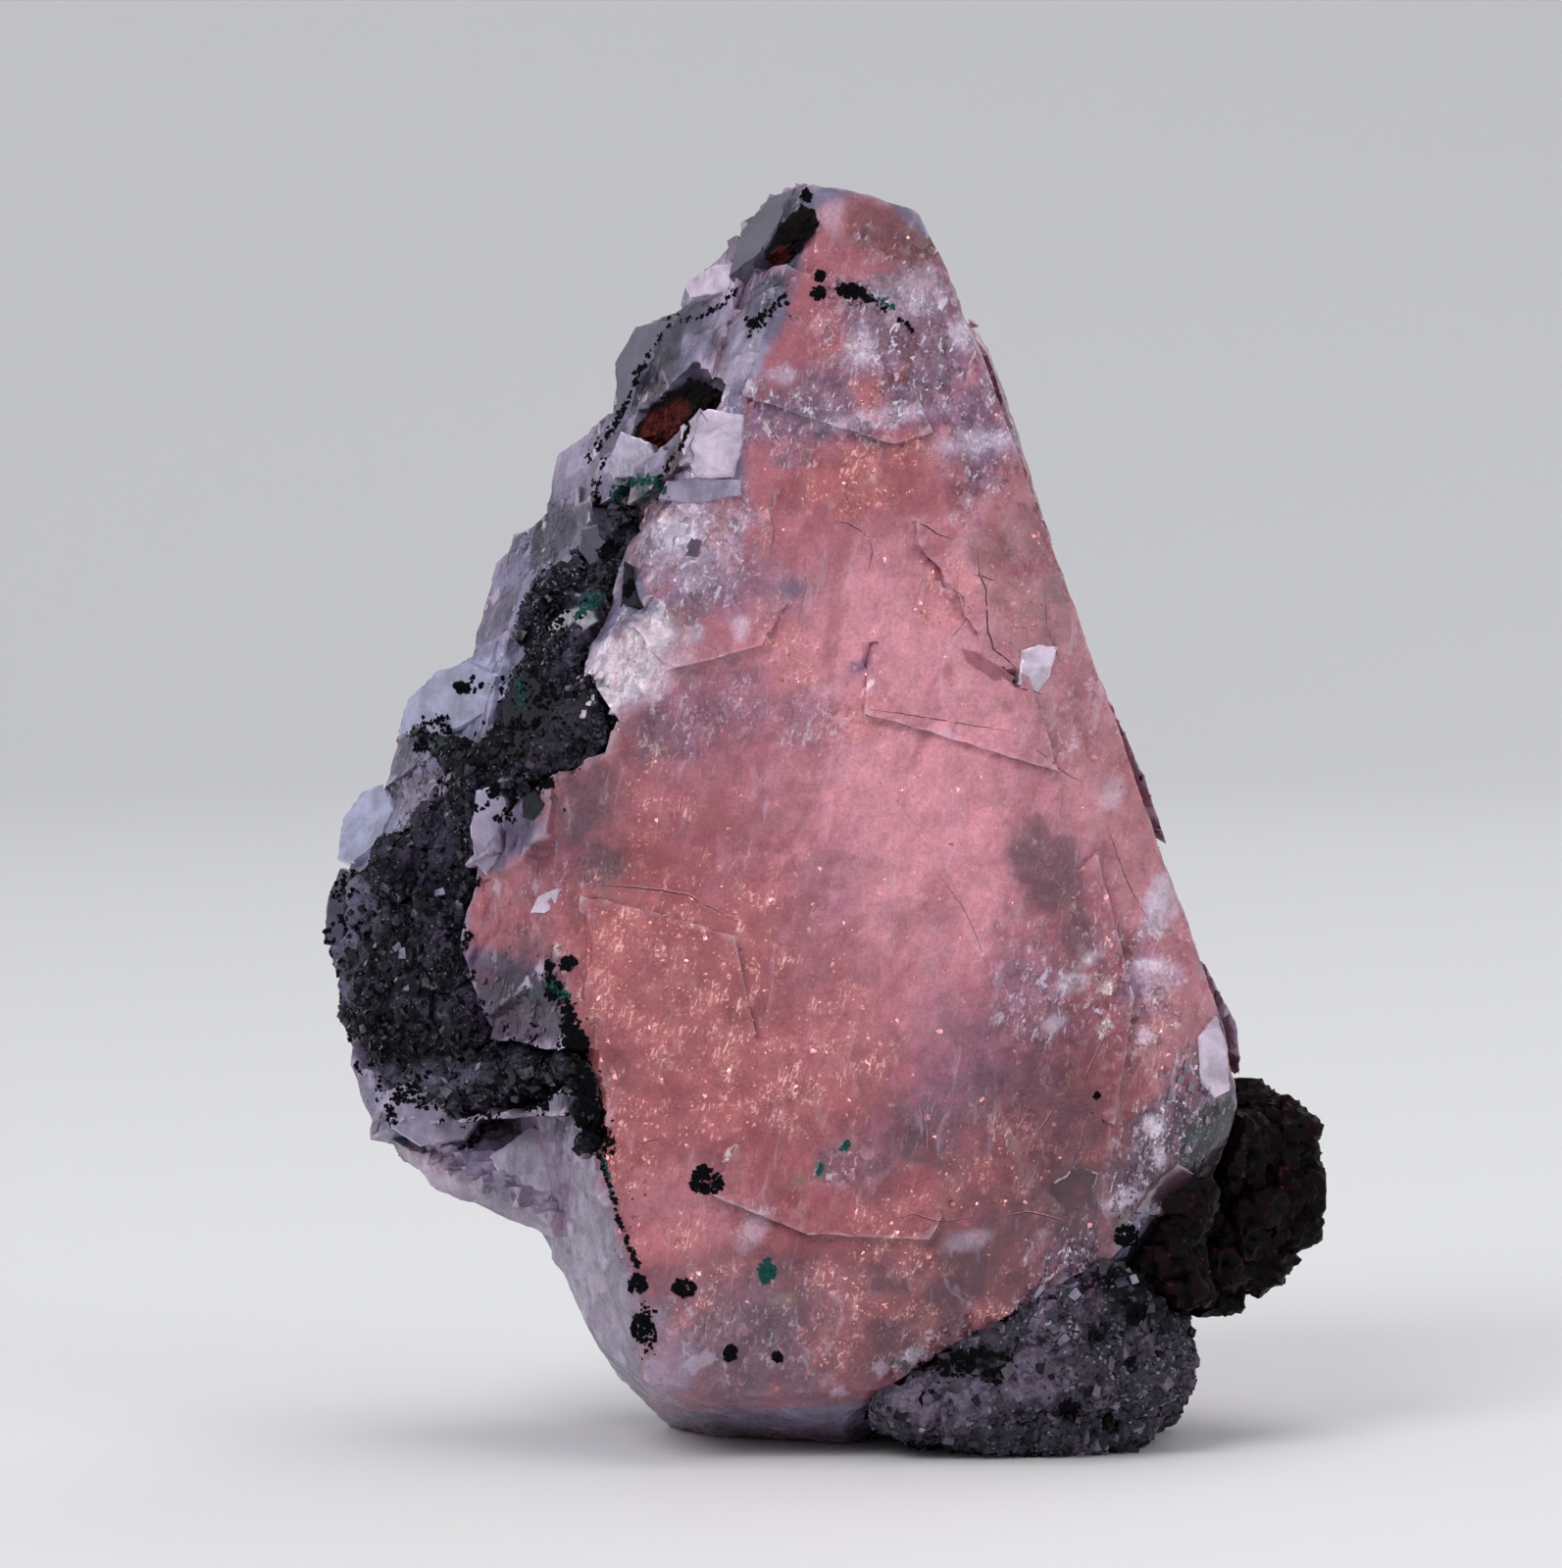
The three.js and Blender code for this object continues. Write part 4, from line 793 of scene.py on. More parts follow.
def flat_crystal(heap, tree, outline, height, colour, dice):
    """A crystal with a flat tilted top, on the surface seen inside an outline of pixels."""
    middle = np.mean(outline, axis=0)
    hits = [landing(tree, middle + (np.array(pixel) - middle) * 0.6) for pixel in outline]
    hits = [hit for hit in [*hits, landing(tree, middle)] if hit[0] is not None]
    place = np.median([hit[0] for hit in hits], axis=0)
    normal = np.mean([hit[1] for hit in hits], axis=0) - 0.25 * SIGHT
    normal /= np.linalg.norm(normal)
    corners = np.array([sight_on_plane(pixel, place, normal) for pixel in outline])
    centre = corners.mean(axis=0)
    lean = dice.uniform(-0.12, 0.12)
    rim = []
    for start, end in zip(corners, np.roll(corners, -1, axis=0)):
        parts = max(1, round(float(np.linalg.norm(end - start)) / JAG))
        for part in range(parts):
            jag = np.array([dice.uniform(-JAG_STRAY, JAG_STRAY) for _ in range(3)])
            rim.append(start + (end - start) * part / parts + jag * (part > 0))
    rings = [[], [], []]
    for point in rim:
        rise = height * 0.5 + lean * (point - centre) @ UP
        inward = (centre - point) / (np.linalg.norm(centre - point) + 1e-9)
        rings[0].append(point - normal * SUNK)
        rings[1].append(point + normal * rise * dice.uniform(0.5, 0.7))
        rings[2].append(point + inward * dice.uniform(0.05, 0.11) + normal * rise)
    count = len(rim)
    faces = []
    for low in (0, count):
        faces += [(low + k, low + (k + 1) % count, low + count + (k + 1) % count, low + count + k)
                  for k in range(count)]
    faces.append(tuple(range(2 * count, 3 * count)))
    faces.append(tuple(range(count - 1, -1, -1)))
    heap.add([*rings[0], *rings[1], *rings[2]], faces, colour)


def cleavage_chip(heap, place, width, colour, dice):
    """A small cleavage block, part sunk in the surface, its edges along the crystal's own directions."""
    sizes = np.array([dice.uniform(0.35, 1.0) for _ in range(3)]) * width / 2
    shade = dice.uniform(0.7, 1.25)
    corners = (BOX_CORNERS * sizes) @ CLEAVAGE
    heap.add(np.array(place) + corners, BOX_FACES, [min(1, part * shade) for part in colour])


def crumb_patch(heap, tree, place, radius, stretch, colour, dice):
    """A ragged spot of small dark grains on the surface."""
    lobes = [(dice.uniform(0, math.tau), dice.uniform(0.75, 1.1)) for _ in range(5)]
    for _ in range(int(20 + 260 * radius**2)):
        angle = dice.uniform(0, math.tau)
        reach = radius * math.sqrt(dice.random()) * max(
            share * (0.55 + 0.45 * math.cos(angle - lobe)) for lobe, share in lobes
        )
        pixel = (place[0] + PX_PER_MM * reach * stretch * math.cos(angle),
                 place[1] + PX_PER_MM * reach * math.sin(angle))
        hit, normal = landing(tree, pixel)
        if hit is not None:
            angular_grain(heap, hit, normal, dice.uniform(*SPOT_GRAINS), colour, dice, flat=0.45)


def grain_vein(heap, tree, route, half_width, count, colour, dice):
    """Small grains strewn along a route of pixels."""
    for _ in range(count):
        share = dice.uniform(0, len(route) - 1.001)
        start = int(share)
        along = np.array(route[start]) + (share - start) * (np.array(route[start + 1]) - route[start])
        pixel = along + np.array((dice.gauss(0, 0.5), dice.gauss(0, 0.5))) * half_width * PX_PER_MM
        hit, normal = landing(tree, pixel)
        if hit is not None:
            angular_grain(heap, hit, normal, dice.uniform(*VEIN_GRAINS), colour, dice, flat=0.5)


def crumble_border(heap, tree, rock, window, count, colour, dice):
    """Dark crumbs over the pale crystal beside the dark rock, in clumps that thin out with distance."""
    (left, top), (right, bottom) = window
    for _ in range(count):
        hit, normal = landing(tree, (dice.uniform(left, right), dice.uniform(top, bottom)))
        if hit is None:
            continue
        distance = rock.find_nearest(hit)[3]
        if 0.03 < distance < 1.2 * (noise.fractal(hit / 0.8, 1.0, 2.0, 4) + 0.3):
            angular_grain(heap, hit, normal, dice.uniform(*BORDER_GRAINS), colour, dice, flat=0.35)


def crack_ribbon(heap, tree, route, width, dark, bright, dice):
    """A crack as a narrow dark ribbon in the skin that paints its shade, with a painted highlight on a lip
    beside it.
    """
    step_px = 5
    trail = []
    for start, end in zip(route, route[1:]):
        run = np.array(end, float) - start
        steps = max(1, int(np.hypot(*run) / step_px))
        for step in range(steps):
            shake = (dice.uniform(-0.5, 0.5), dice.uniform(-0.5, 0.5))
            trail.append(np.array(start) + run * step / steps + shake)
    trail.append(np.array(route[-1], float))
    hits = [hit for hit in (landing(tree, pixel) for pixel in trail) if hit[0] is not None]
    if len(hits) < 2:
        return
    places = np.array([hit[0] for hit in hits])
    normals = np.array([hit[1] for hit in hits])
    ways = np.gradient(places, axis=0)
    sides = np.cross(normals, ways)
    sides /= np.linalg.norm(sides, axis=1)[:, None] + 1e-9
    taper = np.sin(np.linspace(0.12, math.pi - 0.12, len(places)))[:, None] * width
    for offset, share, lift, colour in ((0.0, 0.4, 0.006, dark), (0.65, 0.22, 0.008, bright)):
        left = places + sides * taper * (offset - share) + normals * lift
        right = places + sides * taper * (offset + share) + normals * lift
        below = [edge - normals * 0.05 for edge in (left, right)]
        count = len(places)
        faces = []
        for k in range(count - 1):
            a, b, c, d = k, k + count, k + 2 * count, k + 3 * count
            faces += [(a, a + 1, b + 1, b), (c, d, d + 1, c + 1), (a, c, c + 1, a + 1), (b, b + 1, d + 1, d)]
        faces += [(0, count, 3 * count, 2 * count), (count - 1, 3 * count - 1, 4 * count - 1, 2 * count - 1)]
        heap.add([*left, *right, *below[0], *below[1]], faces, colour)


# Shader nodes


class Shader:
    """One material's nodes, with a short call for each kind of node."""

    def __init__(self, name, colour):
        self.material = bpy.data.materials.new(name)
        self.material.use_nodes = True
        self.material.diffuse_color = (*colour, 1)
        self.tree = self.material.node_tree
        self.surface = self.tree.nodes["Principled BSDF"]
        self.place = self.node("TexCoord").outputs["Object"]

    def feed(self, socket, value):
        """Link an output to a socket, or set the socket's own value."""
        if isinstance(value, bpy.types.NodeSocket):
            self.tree.links.new(value, socket)
        elif hasattr(value, "__len__") and len(socket.default_value) == 4:
            socket.default_value = (*value, 1)
        else:
            socket.default_value = value

    def node(self, kind, inputs=None, **settings):
        """A node with its settings and inputs, which go by name or number."""
        made = self.tree.nodes.new("ShaderNode" + kind)
        for key, value in settings.items():
            setattr(made, key, value)
        for key, value in (inputs or {}).items():
            self.feed(made.inputs[key], value)
        return made

    def finish(self, **inputs):
        """Set the surface's inputs: underscores in their names stand for spaces."""
        for key, value in inputs.items():
            self.feed(self.surface.inputs[key.replace("_", " ")], value)
        return self.material

    def attribute(self, name):
        """A number stored on the vertices."""
        return self.node("Attribute", attribute_name=name).outputs["Fac"]

    def colour_attribute(self, name):
        """A colour stored on the vertices."""
        return self.node("Attribute", attribute_name=name).outputs["Color"]

    def math(self, operation, first, second=0.0, clamp=False):
        """A calculation with numbers."""
        inputs = {0: first, 1: second}
        return self.node("Math", inputs, operation=operation, use_clamp=clamp).outputs[0]

    def times(self, first, second, clamp=False):
        """A product."""
        return self.math("MULTIPLY", first, second, clamp)

    def plus(self, first, second):
        """A sum."""
        return self.math("ADD", first, second)

    def minus(self, first, second):
        """A difference."""
        return self.math("SUBTRACT", first, second)

    def vector(self, operation, first, second=(0, 0, 0)):
        """A calculation with vectors."""
        return self.node("VectorMath", {0: first, 1: second}, operation=operation).outputs[0]

    def moved(self, place, way):
        """A place moved by a vector."""
        return self.vector("ADD", place, way)

    def stretched(self, place, factors):
        """A place with each axis times its own factor."""
        return self.vector("MULTIPLY", place, factors)

    def scaled(self, vector, factor):
        """A vector times a number."""
        made = self.node("VectorMath", {0: vector}, operation="SCALE")
        self.feed(made.inputs["Scale"], factor)
        return made.outputs[0]

    def rise(self, value, low, high, bottom=0.0, top=1.0):
        """A smooth rise from bottom to top while a value goes from low to high."""
        inputs = {"Value": value, "From Min": low, "From Max": high, "To Min": bottom, "To Max": top}
        return self.node("MapRange", inputs, interpolation_type="SMOOTHSTEP").outputs[0]

    def blend(self, share, first, second, how="MIX"):
        """Two colours mixed."""
        made = self.node("Mix", {0: share, 6: first, 7: second}, data_type="RGBA", blend_type=how)
        return made.outputs[2]

    def shade(self, colour, factor):
        """A colour times a number."""
        grey = self.node("CombineColor", {0: factor, 1: factor, 2: factor}).outputs[0]
        return self.blend(1.0, colour, grey, "MULTIPLY")

    def clouds(self, size, detail=4.0, rough=0.6, place=None, twist=0.0):
        """Noise with swells of a size in millimetres."""
        inputs = {"Vector": place or self.place, "Scale": 1 / (size * MM), "Detail": detail}
        return self.node("TexNoise", {**inputs, "Roughness": rough, "Distortion": twist}).outputs[0]

    def wander(self, size, detail):
        """A vector that wanders, with swells of a size in millimetres."""
        inputs = {"Vector": self.place, "Scale": 1 / (size * MM), "Detail": detail}
        return self.node("TexNoise", inputs).outputs["Color"]

    def frayed(self, size, detail):
        """The place moved a little by a wandering vector, which frays what is laid out by it."""
        return self.moved(self.place, self.scaled(self.wander(size, detail), 0.3 * MM))

    def grains(self, size, place):
        """Cells of a size in millimetres: the distance into each and its random colour."""
        made = self.node("TexVoronoi", {"Vector": place, "Scale": 1 / (size * MM)})
        return made.outputs["Distance"], made.outputs["Color"]

    def parts(self, colour):
        """A colour's three channels."""
        made = self.node("SeparateColor", {0: colour})
        return made.outputs[0], made.outputs[1], made.outputs[2]

    def choice(self, value, steps):
        """A colour picked by a value: each step has the value where its colour begins."""
        ramp = self.node("ValToRGB", {0: value})
        ramp.color_ramp.interpolation = "CONSTANT"
        elements = ramp.color_ramp.elements
        while len(elements) < len(steps):
            elements.new(1.0)
        for element, (start, colour) in zip(elements, steps):
            element.position = start
            element.color = (*colour, 1)
        return ramp.outputs[0]

    def bump(self, height, depth, strength=1.0, normal=None):
        """A bump of a depth in millimetres."""
        inputs = {"Height": height, "Distance": depth * MM, "Strength": strength}
        made = self.node("Bump", inputs)
        if normal is not None:
            self.feed(made.inputs["Normal"], normal)
        return made.outputs[0]

    def in_cleavage(self):
        """The place measured along the crystal's three cleavage edges."""
        rows = []
        for axis in TO_CLEAVAGE.T:
            dot = self.node("VectorMath", {0: self.place, 1: tuple(axis)}, operation="DOT_PRODUCT")
            rows.append(dot.outputs["Value"])
        return self.node("CombineXYZ", {0: rows[0], 1: rows[1], 2: rows[2]}).outputs[0]

    def blocks(self, size, lattice, wander):
        """A random number for each cleavage block of a size, with its borders bent by a wandering place."""
        bent = self.moved(lattice, self.scaled(wander, size * MM))
        whole = self.vector("FLOOR", self.scaled(bent, 1 / (size * MM)))
        return self.node("TexWhiteNoise", {"Vector": whole}, noise_dimensions="3D").outputs["Value"]


def calcite_material(look, flecks):
    """Cloudy crystal, tinted by its stored colour: blocks, wisps, copper flecks and black specks, with a
    painted copper glow, painted glints, painted highlights on edges and painted shade in hollows.
    """
    s = Shader("cloudy_calcite", look.rose)
    tint = s.colour_attribute("tint")
    flank = s.attribute("flank")
    lattice = s.in_cleavage()
    wander = s.wander(3, 3)

    # Cleavage blocks, clouds and dust
    broad = s.blocks(2.4, lattice, wander)
    small = s.blocks(0.7, lattice, wander)
    contrast = s.rise(flank, 0, 1, 0.2, 0.9)
    mosaic = s.times(s.plus(s.minus(broad, 0.5), s.times(s.minus(small, 0.5), 0.7)), contrast)
    cloud = s.rise(s.clouds(1.3, 4, 0.66, twist=0.8), 0.3, 0.7, 0.85, 1.16)
    dust = s.rise(s.clouds(0.14, 2, 0.75), 0.25, 0.75, 0.84, 1.16)
    colour = s.shade(tint, s.times(s.plus(mosaic, 1.0), s.times(cloud, dust)))

    # Salmon drifts and pearly wisps along the cleavage
    streak_place = s.stretched(lattice, (0.3, 1.6, 1.0))
    drift = s.clouds(2.6, 4, 0.65, s.stretched(lattice, (0.5, 1.0, 1.0)), 0.6)
    drifts = s.times(s.rise(drift, 0.48, 0.36), s.rise(flank, 0, 1, 0.4, 0))
    colour = s.blend(drifts, colour, look.salmon)
    wisps = s.rise(s.clouds(1.1, 4, 0.65, streak_place, 1.2), 0.56, 0.74)
    colour = s.blend(s.times(wisps, 0.28), colour, look.pearl_and_highlight)

    # Copper under the skin: a salmon tint, partly a painted glow where it crowds, and painted glints in fine
    # streaks
    hatch = s.stretched(lattice, (0.2, 1.0, 1.0))
    crossed = s.stretched(lattice, (1.0, 0.3, 0.8))
    streaks = s.rise(s.clouds(0.13, 2, 0.6, hatch, 0.4), 0.53, 0.66)
    streaks = s.math("MAXIMUM", streaks, s.rise(s.clouds(0.15, 2, 0.6, crossed, 0.5), 0.56, 0.68))
    clumps = s.rise(s.clouds(1.0, 4, 0.7, s.moved(s.place, (0.02, 0.03, 0.01))), 0.5, 0.6)
    crowding = s.attribute("fleck")
    colour = s.blend(s.times(s.times(clumps, 0.5), crowding), colour, look.glow)
    # Painted glints: pale salmon streaks where the copper crowds.
    painted_shimmer = s.times(s.times(streaks, clumps), s.rise(crowding, 0, 0.6, 0.1, 1))
    reddened = s.times(s.rise(s.clouds(0.5, 3, 0.6), 0.56, 0.7), crowding, clamp=True)
    colour = s.blend(reddened, colour, look.salmon)
    colour = s.blend(s.times(painted_shimmer, 0.85), colour, look.painted_shimmer)

    # Frost: broken shards of random brightness, and painted glints
    frayed = s.frayed(0.16, 2)
    frost = s.attribute("frost")
    _, shard_dice = s.grains(0.5, s.stretched(frayed, (1.0, 1.0, 0.7)))
    _, splinter_dice = s.grains(0.17, frayed)
    shard, _, _ = s.parts(shard_dice)
    splinter, spark, _ = s.parts(splinter_dice)
    broken = s.plus(s.rise(shard, 0, 1, -0.38, 0.34), s.rise(splinter, 0, 1, -0.22, 0.24))
    colour = s.shade(colour, s.plus(s.times(broken, frost), 1.0))
    glassy = s.rise(s.clouds(0.26, 3, 0.75, s.stretched(lattice, (0.45, 1.0, 0.7)), 0.6), 0.54, 0.64)
    glints = s.times(s.times(frost, glassy), s.rise(spark, 0.1, 0.5))
    colour = s.blend(s.times(glints, 0.75), colour, look.painted_glint)

    # Copper flecks
    fleck_distance, fleck_dice = s.grains(0.24, frayed)
    pick, shine, size = s.parts(fleck_dice)
    crowd = s.rise(s.clouds(0.9, 3, 0.7), 0.38, 0.66, 0.15, 1.5)
    density = s.times(crowding, crowd)
    chosen = s.math("LESS_THAN", pick, s.times(density, 0.5))
    rim = s.rise(size, 0, 1, 0.2, 0.5)
    fleck = s.times(chosen, s.rise(s.minus(rim, fleck_distance), 0, 0.14))
    fleck_tone = s.blend(shine, look.glow, flecks.copper)
    colour = s.blend(s.times(density, 0.3, clamp=True), colour, look.glow)
    colour = s.blend(s.times(fleck, 0.8), colour, fleck_tone)

    # Black and teal specks
    crumbs = s.clouds(0.3, 4, 0.75, s.moved(s.place, (0.011, 0.007, 0.019)), 0.3)
    limit = s.rise(s.attribute("speck"), 0, 1, 0.76, 0.47)
    speck = s.rise(s.minus(crumbs, limit), 0, 0.03)
    speck_colour = s.blend(s.rise(s.clouds(0.9), 0.58, 0.62), look.slate, look.teal)
    colour = s.blend(s.times(speck, 0.95), colour, speck_colour)

    # Painted highlights on edges, painted shade in hollows, and tilted plates
    geometry = s.node("NewGeometry")
    edge = s.rise(geometry.outputs["Pointiness"], 0.52, 0.6)
    colour = s.blend(s.times(edge, s.rise(flank, 0, 1, 0.35, 0.6)), colour, look.pearl_and_highlight)
    hollow = s.rise(geometry.outputs["Pointiness"], 0.48, 0.41)
    colour = s.blend(s.times(hollow, s.rise(flank, 0, 1, 0.45, 0.7)), colour, look.smoke_and_shade)
    normal = geometry.outputs["Normal"]
    tilt = s.scaled(s.vector("SUBTRACT", fleck_dice, (0.5, 0.5, 0.5)), s.times(fleck, 1.2))
    shard_tilt = s.scaled(s.vector("SUBTRACT", shard_dice, (0.5, 0.5, 0.5)), s.times(frost, 0.8))
    normal = s.vector("NORMALIZE", s.moved(normal, s.moved(tilt, shard_tilt)))
    ribs = s.clouds(0.24, 2, 0.5, s.stretched(lattice, (0.06, 1, 0.06)))
    skin = s.plus(s.times(ribs, flank), s.times(s.clouds(0.35, 3, 0.7), 0.9))
    normal = s.bump(skin, 0.06, 0.55, normal)

    gloss = s.rise(s.clouds(0.9, 2, 0.6), 0.3, 0.7, look.roughness - 0.12, look.roughness + 0.14)
    return s.finish(
        Base_Color=colour,
        Metallic=s.times(fleck, 0.6),
        Roughness=gloss,
        Normal=normal,
        IOR=1.6,
        Transmission_Weight=s.attribute("clear"),
        Subsurface_Weight=0.15,
        Subsurface_Radius=(1.5, 0.9, 0.9),
        Subsurface_Scale=0.6 * MM,
    )


def tinted_material(name, colour, roughness, metallic=0.0, shine=0.5, grain=0.25):
    """A finish for small solids that carry their own colour, mottled and slightly uneven."""
    s = Shader(name, colour)
    mottle = s.rise(s.clouds(grain, 4, 0.7), 0.25, 0.75, 0.65, 1.35)
    return s.finish(
        Base_Color=s.shade(s.colour_attribute("tint"), mottle),
        Metallic=metallic,
        Roughness=s.rise(s.clouds(2 * grain), 0.3, 0.7, roughness - 0.1, roughness + 0.12),
        Normal=s.bump(s.clouds(grain, 4, 0.7), 0.04, 0.5),
        Specular_IOR_Level=shine,
    )


def crystal_material(name, colour, clear):
    """A finish for single crystals: their own colour, fine cleavage lines across them and a pearly gloss."""
    s = Shader(name, colour)
    lattice = s.in_cleavage()
    lines = s.clouds(0.2, 3, 0.6, s.stretched(lattice, (0.05, 1, 0.05)))
    haze = s.rise(s.clouds(1.2, 4, 0.6, twist=0.5), 0.32, 0.68, 0.65, 1.25)
    mottle = s.times(haze, s.rise(lines, 0.35, 0.65, 0.95, 1.04))
    return s.finish(
        Base_Color=s.shade(s.colour_attribute("tint"), mottle),
        Roughness=s.rise(s.clouds(0.5), 0.3, 0.7, 0.12, 0.34),
        Normal=s.bump(s.plus(lines, s.clouds(0.5, 3, 0.6)), 0.03, 0.4),
        Transmission_Weight=clear,
        Subsurface_Weight=0.1,
        Subsurface_Radius=(1.2, 1.0, 1.1),
        Subsurface_Scale=0.5 * MM,
        IOR=1.6,
    )


def rock_material(name, steps, veil, glint, grain):
    """Granular rock: every grain has one of a few minerals' colours, and a few tiny cells carry painted
    glints in the pale colour.
    """
    s = Shader(name, steps[0][1])
    s.finish(Specular_IOR_Level=0.1)
    bent = s.frayed(0.5, 3)
    distance, dice = s.grains(grain, bent)
    pick, shine, _ = s.parts(dice)
    colour = s.choice(pick, steps)
    fine_distance, fine_dice = s.grains(grain * 0.33, bent)
    fine_pick, _, _ = s.parts(fine_dice)
    fine = s.choice(fine_pick, steps)
    colour = s.blend(s.rise(s.clouds(1.2), 0.42, 0.58), colour, fine)
    film = s.rise(s.clouds(2.2, 6, 0.75, s.moved(s.place, (0.03, 0.02, 0.05))), 0.53, 0.58)
    colour = s.blend(s.times(film, 0.85), colour, veil)
    colour = s.blend(s.attribute("stain"), colour, s.colour_attribute("tint"))
    colour = s.shade(colour, s.rise(s.clouds(0.3, 5, 0.7), 0.25, 0.75, 0.6, 1.5))
    # Painted glints: a few tiny cells take the pale colour.
    sparkle = s.math("GREATER_THAN", fine_pick, 0.965)
    colour = s.blend(s.times(sparkle, s.rise(fine_distance, 0.4, 0.25)), colour, glint)
    domes = s.rise(distance, 0, 0.7, 1, 0)
    small_domes = s.rise(fine_distance, 0, 0.7, 1, 0)
    return s.finish(
        Base_Color=colour,
        Roughness=s.rise(shine, 0, 1, 0.3, 0.62),
        Normal=s.bump(s.plus(domes, s.times(small_domes, 0.5)), 0.1, 0.6),
    )


def copper_material(name, look, dark, bright, roughness):
    """Tarnished native copper: black in its hollows, brown or red on its crests."""
    s = Shader(name, dark)
    s.finish(Specular_IOR_Level=0.08)
    crest = s.attribute("crest")
    mottle = s.clouds(0.5, 5, 0.7, twist=0.5)
    share = s.times(crest, s.rise(mottle, 0.35, 0.62), clamp=True)
    colour = s.blend(share, dark, bright)
    blushed = s.times(s.rise(s.clouds(0.25, 3, 0.6), 0.6, 0.7), s.times(crest, 0.6))
    colour = s.blend(blushed, colour, look.blush)
    colour = s.shade(colour, s.rise(s.clouds(0.12, 3, 0.7), 0.2, 0.8, 0.6, 1.5))
    return s.finish(
        Base_Color=colour,
        Metallic=s.rise(share, 0, 1, 0.0, 0.6),
        Roughness=s.rise(s.clouds(0.3), 0.3, 0.7, roughness - 0.12, roughness + 0.14),
        Normal=s.bump(s.clouds(0.18, 5, 0.75), 0.08, 0.7),
    )


# The crystal


def crystal_shape(look):
    """The crystal's mesh: cleavage steps on the flank, back and sides, and a nearly smooth front."""
    mesh = dense_mesh("calcite_crystal", look.cell)
    settle(mesh, "calcite_crystal")
    facing = spread_out(mesh, smooth(0.75, 0.92, normals_of(mesh) @ FRONT_NORMAL), 6)
    even_out(mesh, FRONT_ROUNDS, smooth(0.45, 0.8, facing))
    splinter = patch_mask(in_photo(points_of(mesh)), 0, *SPLINTER, 0.3)
    even_out(mesh, SPLINTER_ROUNDS, splinter)
    points = points_of(mesh)
    in_notch = smooth(4.2, 2.8, np.linalg.norm(points - BACK_NOTCH, axis=1))
    points[:, 1] += in_notch * 0.8 * np.maximum(0, BACK_DEPTH - points[:, 1])
    move_points(mesh, points)
    normals = normals_of(mesh)

    # Stairs of two sizes on the flank, the back and the sides
    front = smooth(0.86, 0.97, normals @ FRONT_NORMAL)
    patchy = field(points, 5.0, 7.0)
    stepped = (1 - front) * smooth(0.35, -0.1, normals[:, 0]) * smooth(2, 9, points[:, 2])
    stepped *= smooth(-0.45, -0.05, normals[:, 2])
    stepped = np.maximum(stepped, 0.2 * (1 - front) * smooth(0.3, 0.8, normals[:, 1]))
    coarse = stepped * smooth(-0.25, 0.35, patchy) * 0.55
    fine = stepped * smooth(0.3, -0.3, patchy) * 0.5
    moved = points + coarse[:, None] * terraced(points, look.coarse_step / MM)
    moved += fine[:, None] * terraced(points, look.fine_step / MM)

    # A rough skin, a slow swell and thin plates that have come off the front
    rough = field(points, 0.9, 31.0, 4) * (0.04 + 0.04 * (1 - front))
    swell = field(points, 3.2, 5.0, 2) * (0.08 + 0.02 * (1 - front))
    plates = front * smooth(0.0, 0.35, field(points, 3.4, 91.0, 2)) * 0.09
    plates += front * smooth(0.1, 0.16, field(points, 1.7, 97.0, 3)) * 0.035
    moved += normals * (rough + swell - plates)[:, None]
    move_points(mesh, kept_in_box(moved, "calcite_crystal"))
    return mesh, front


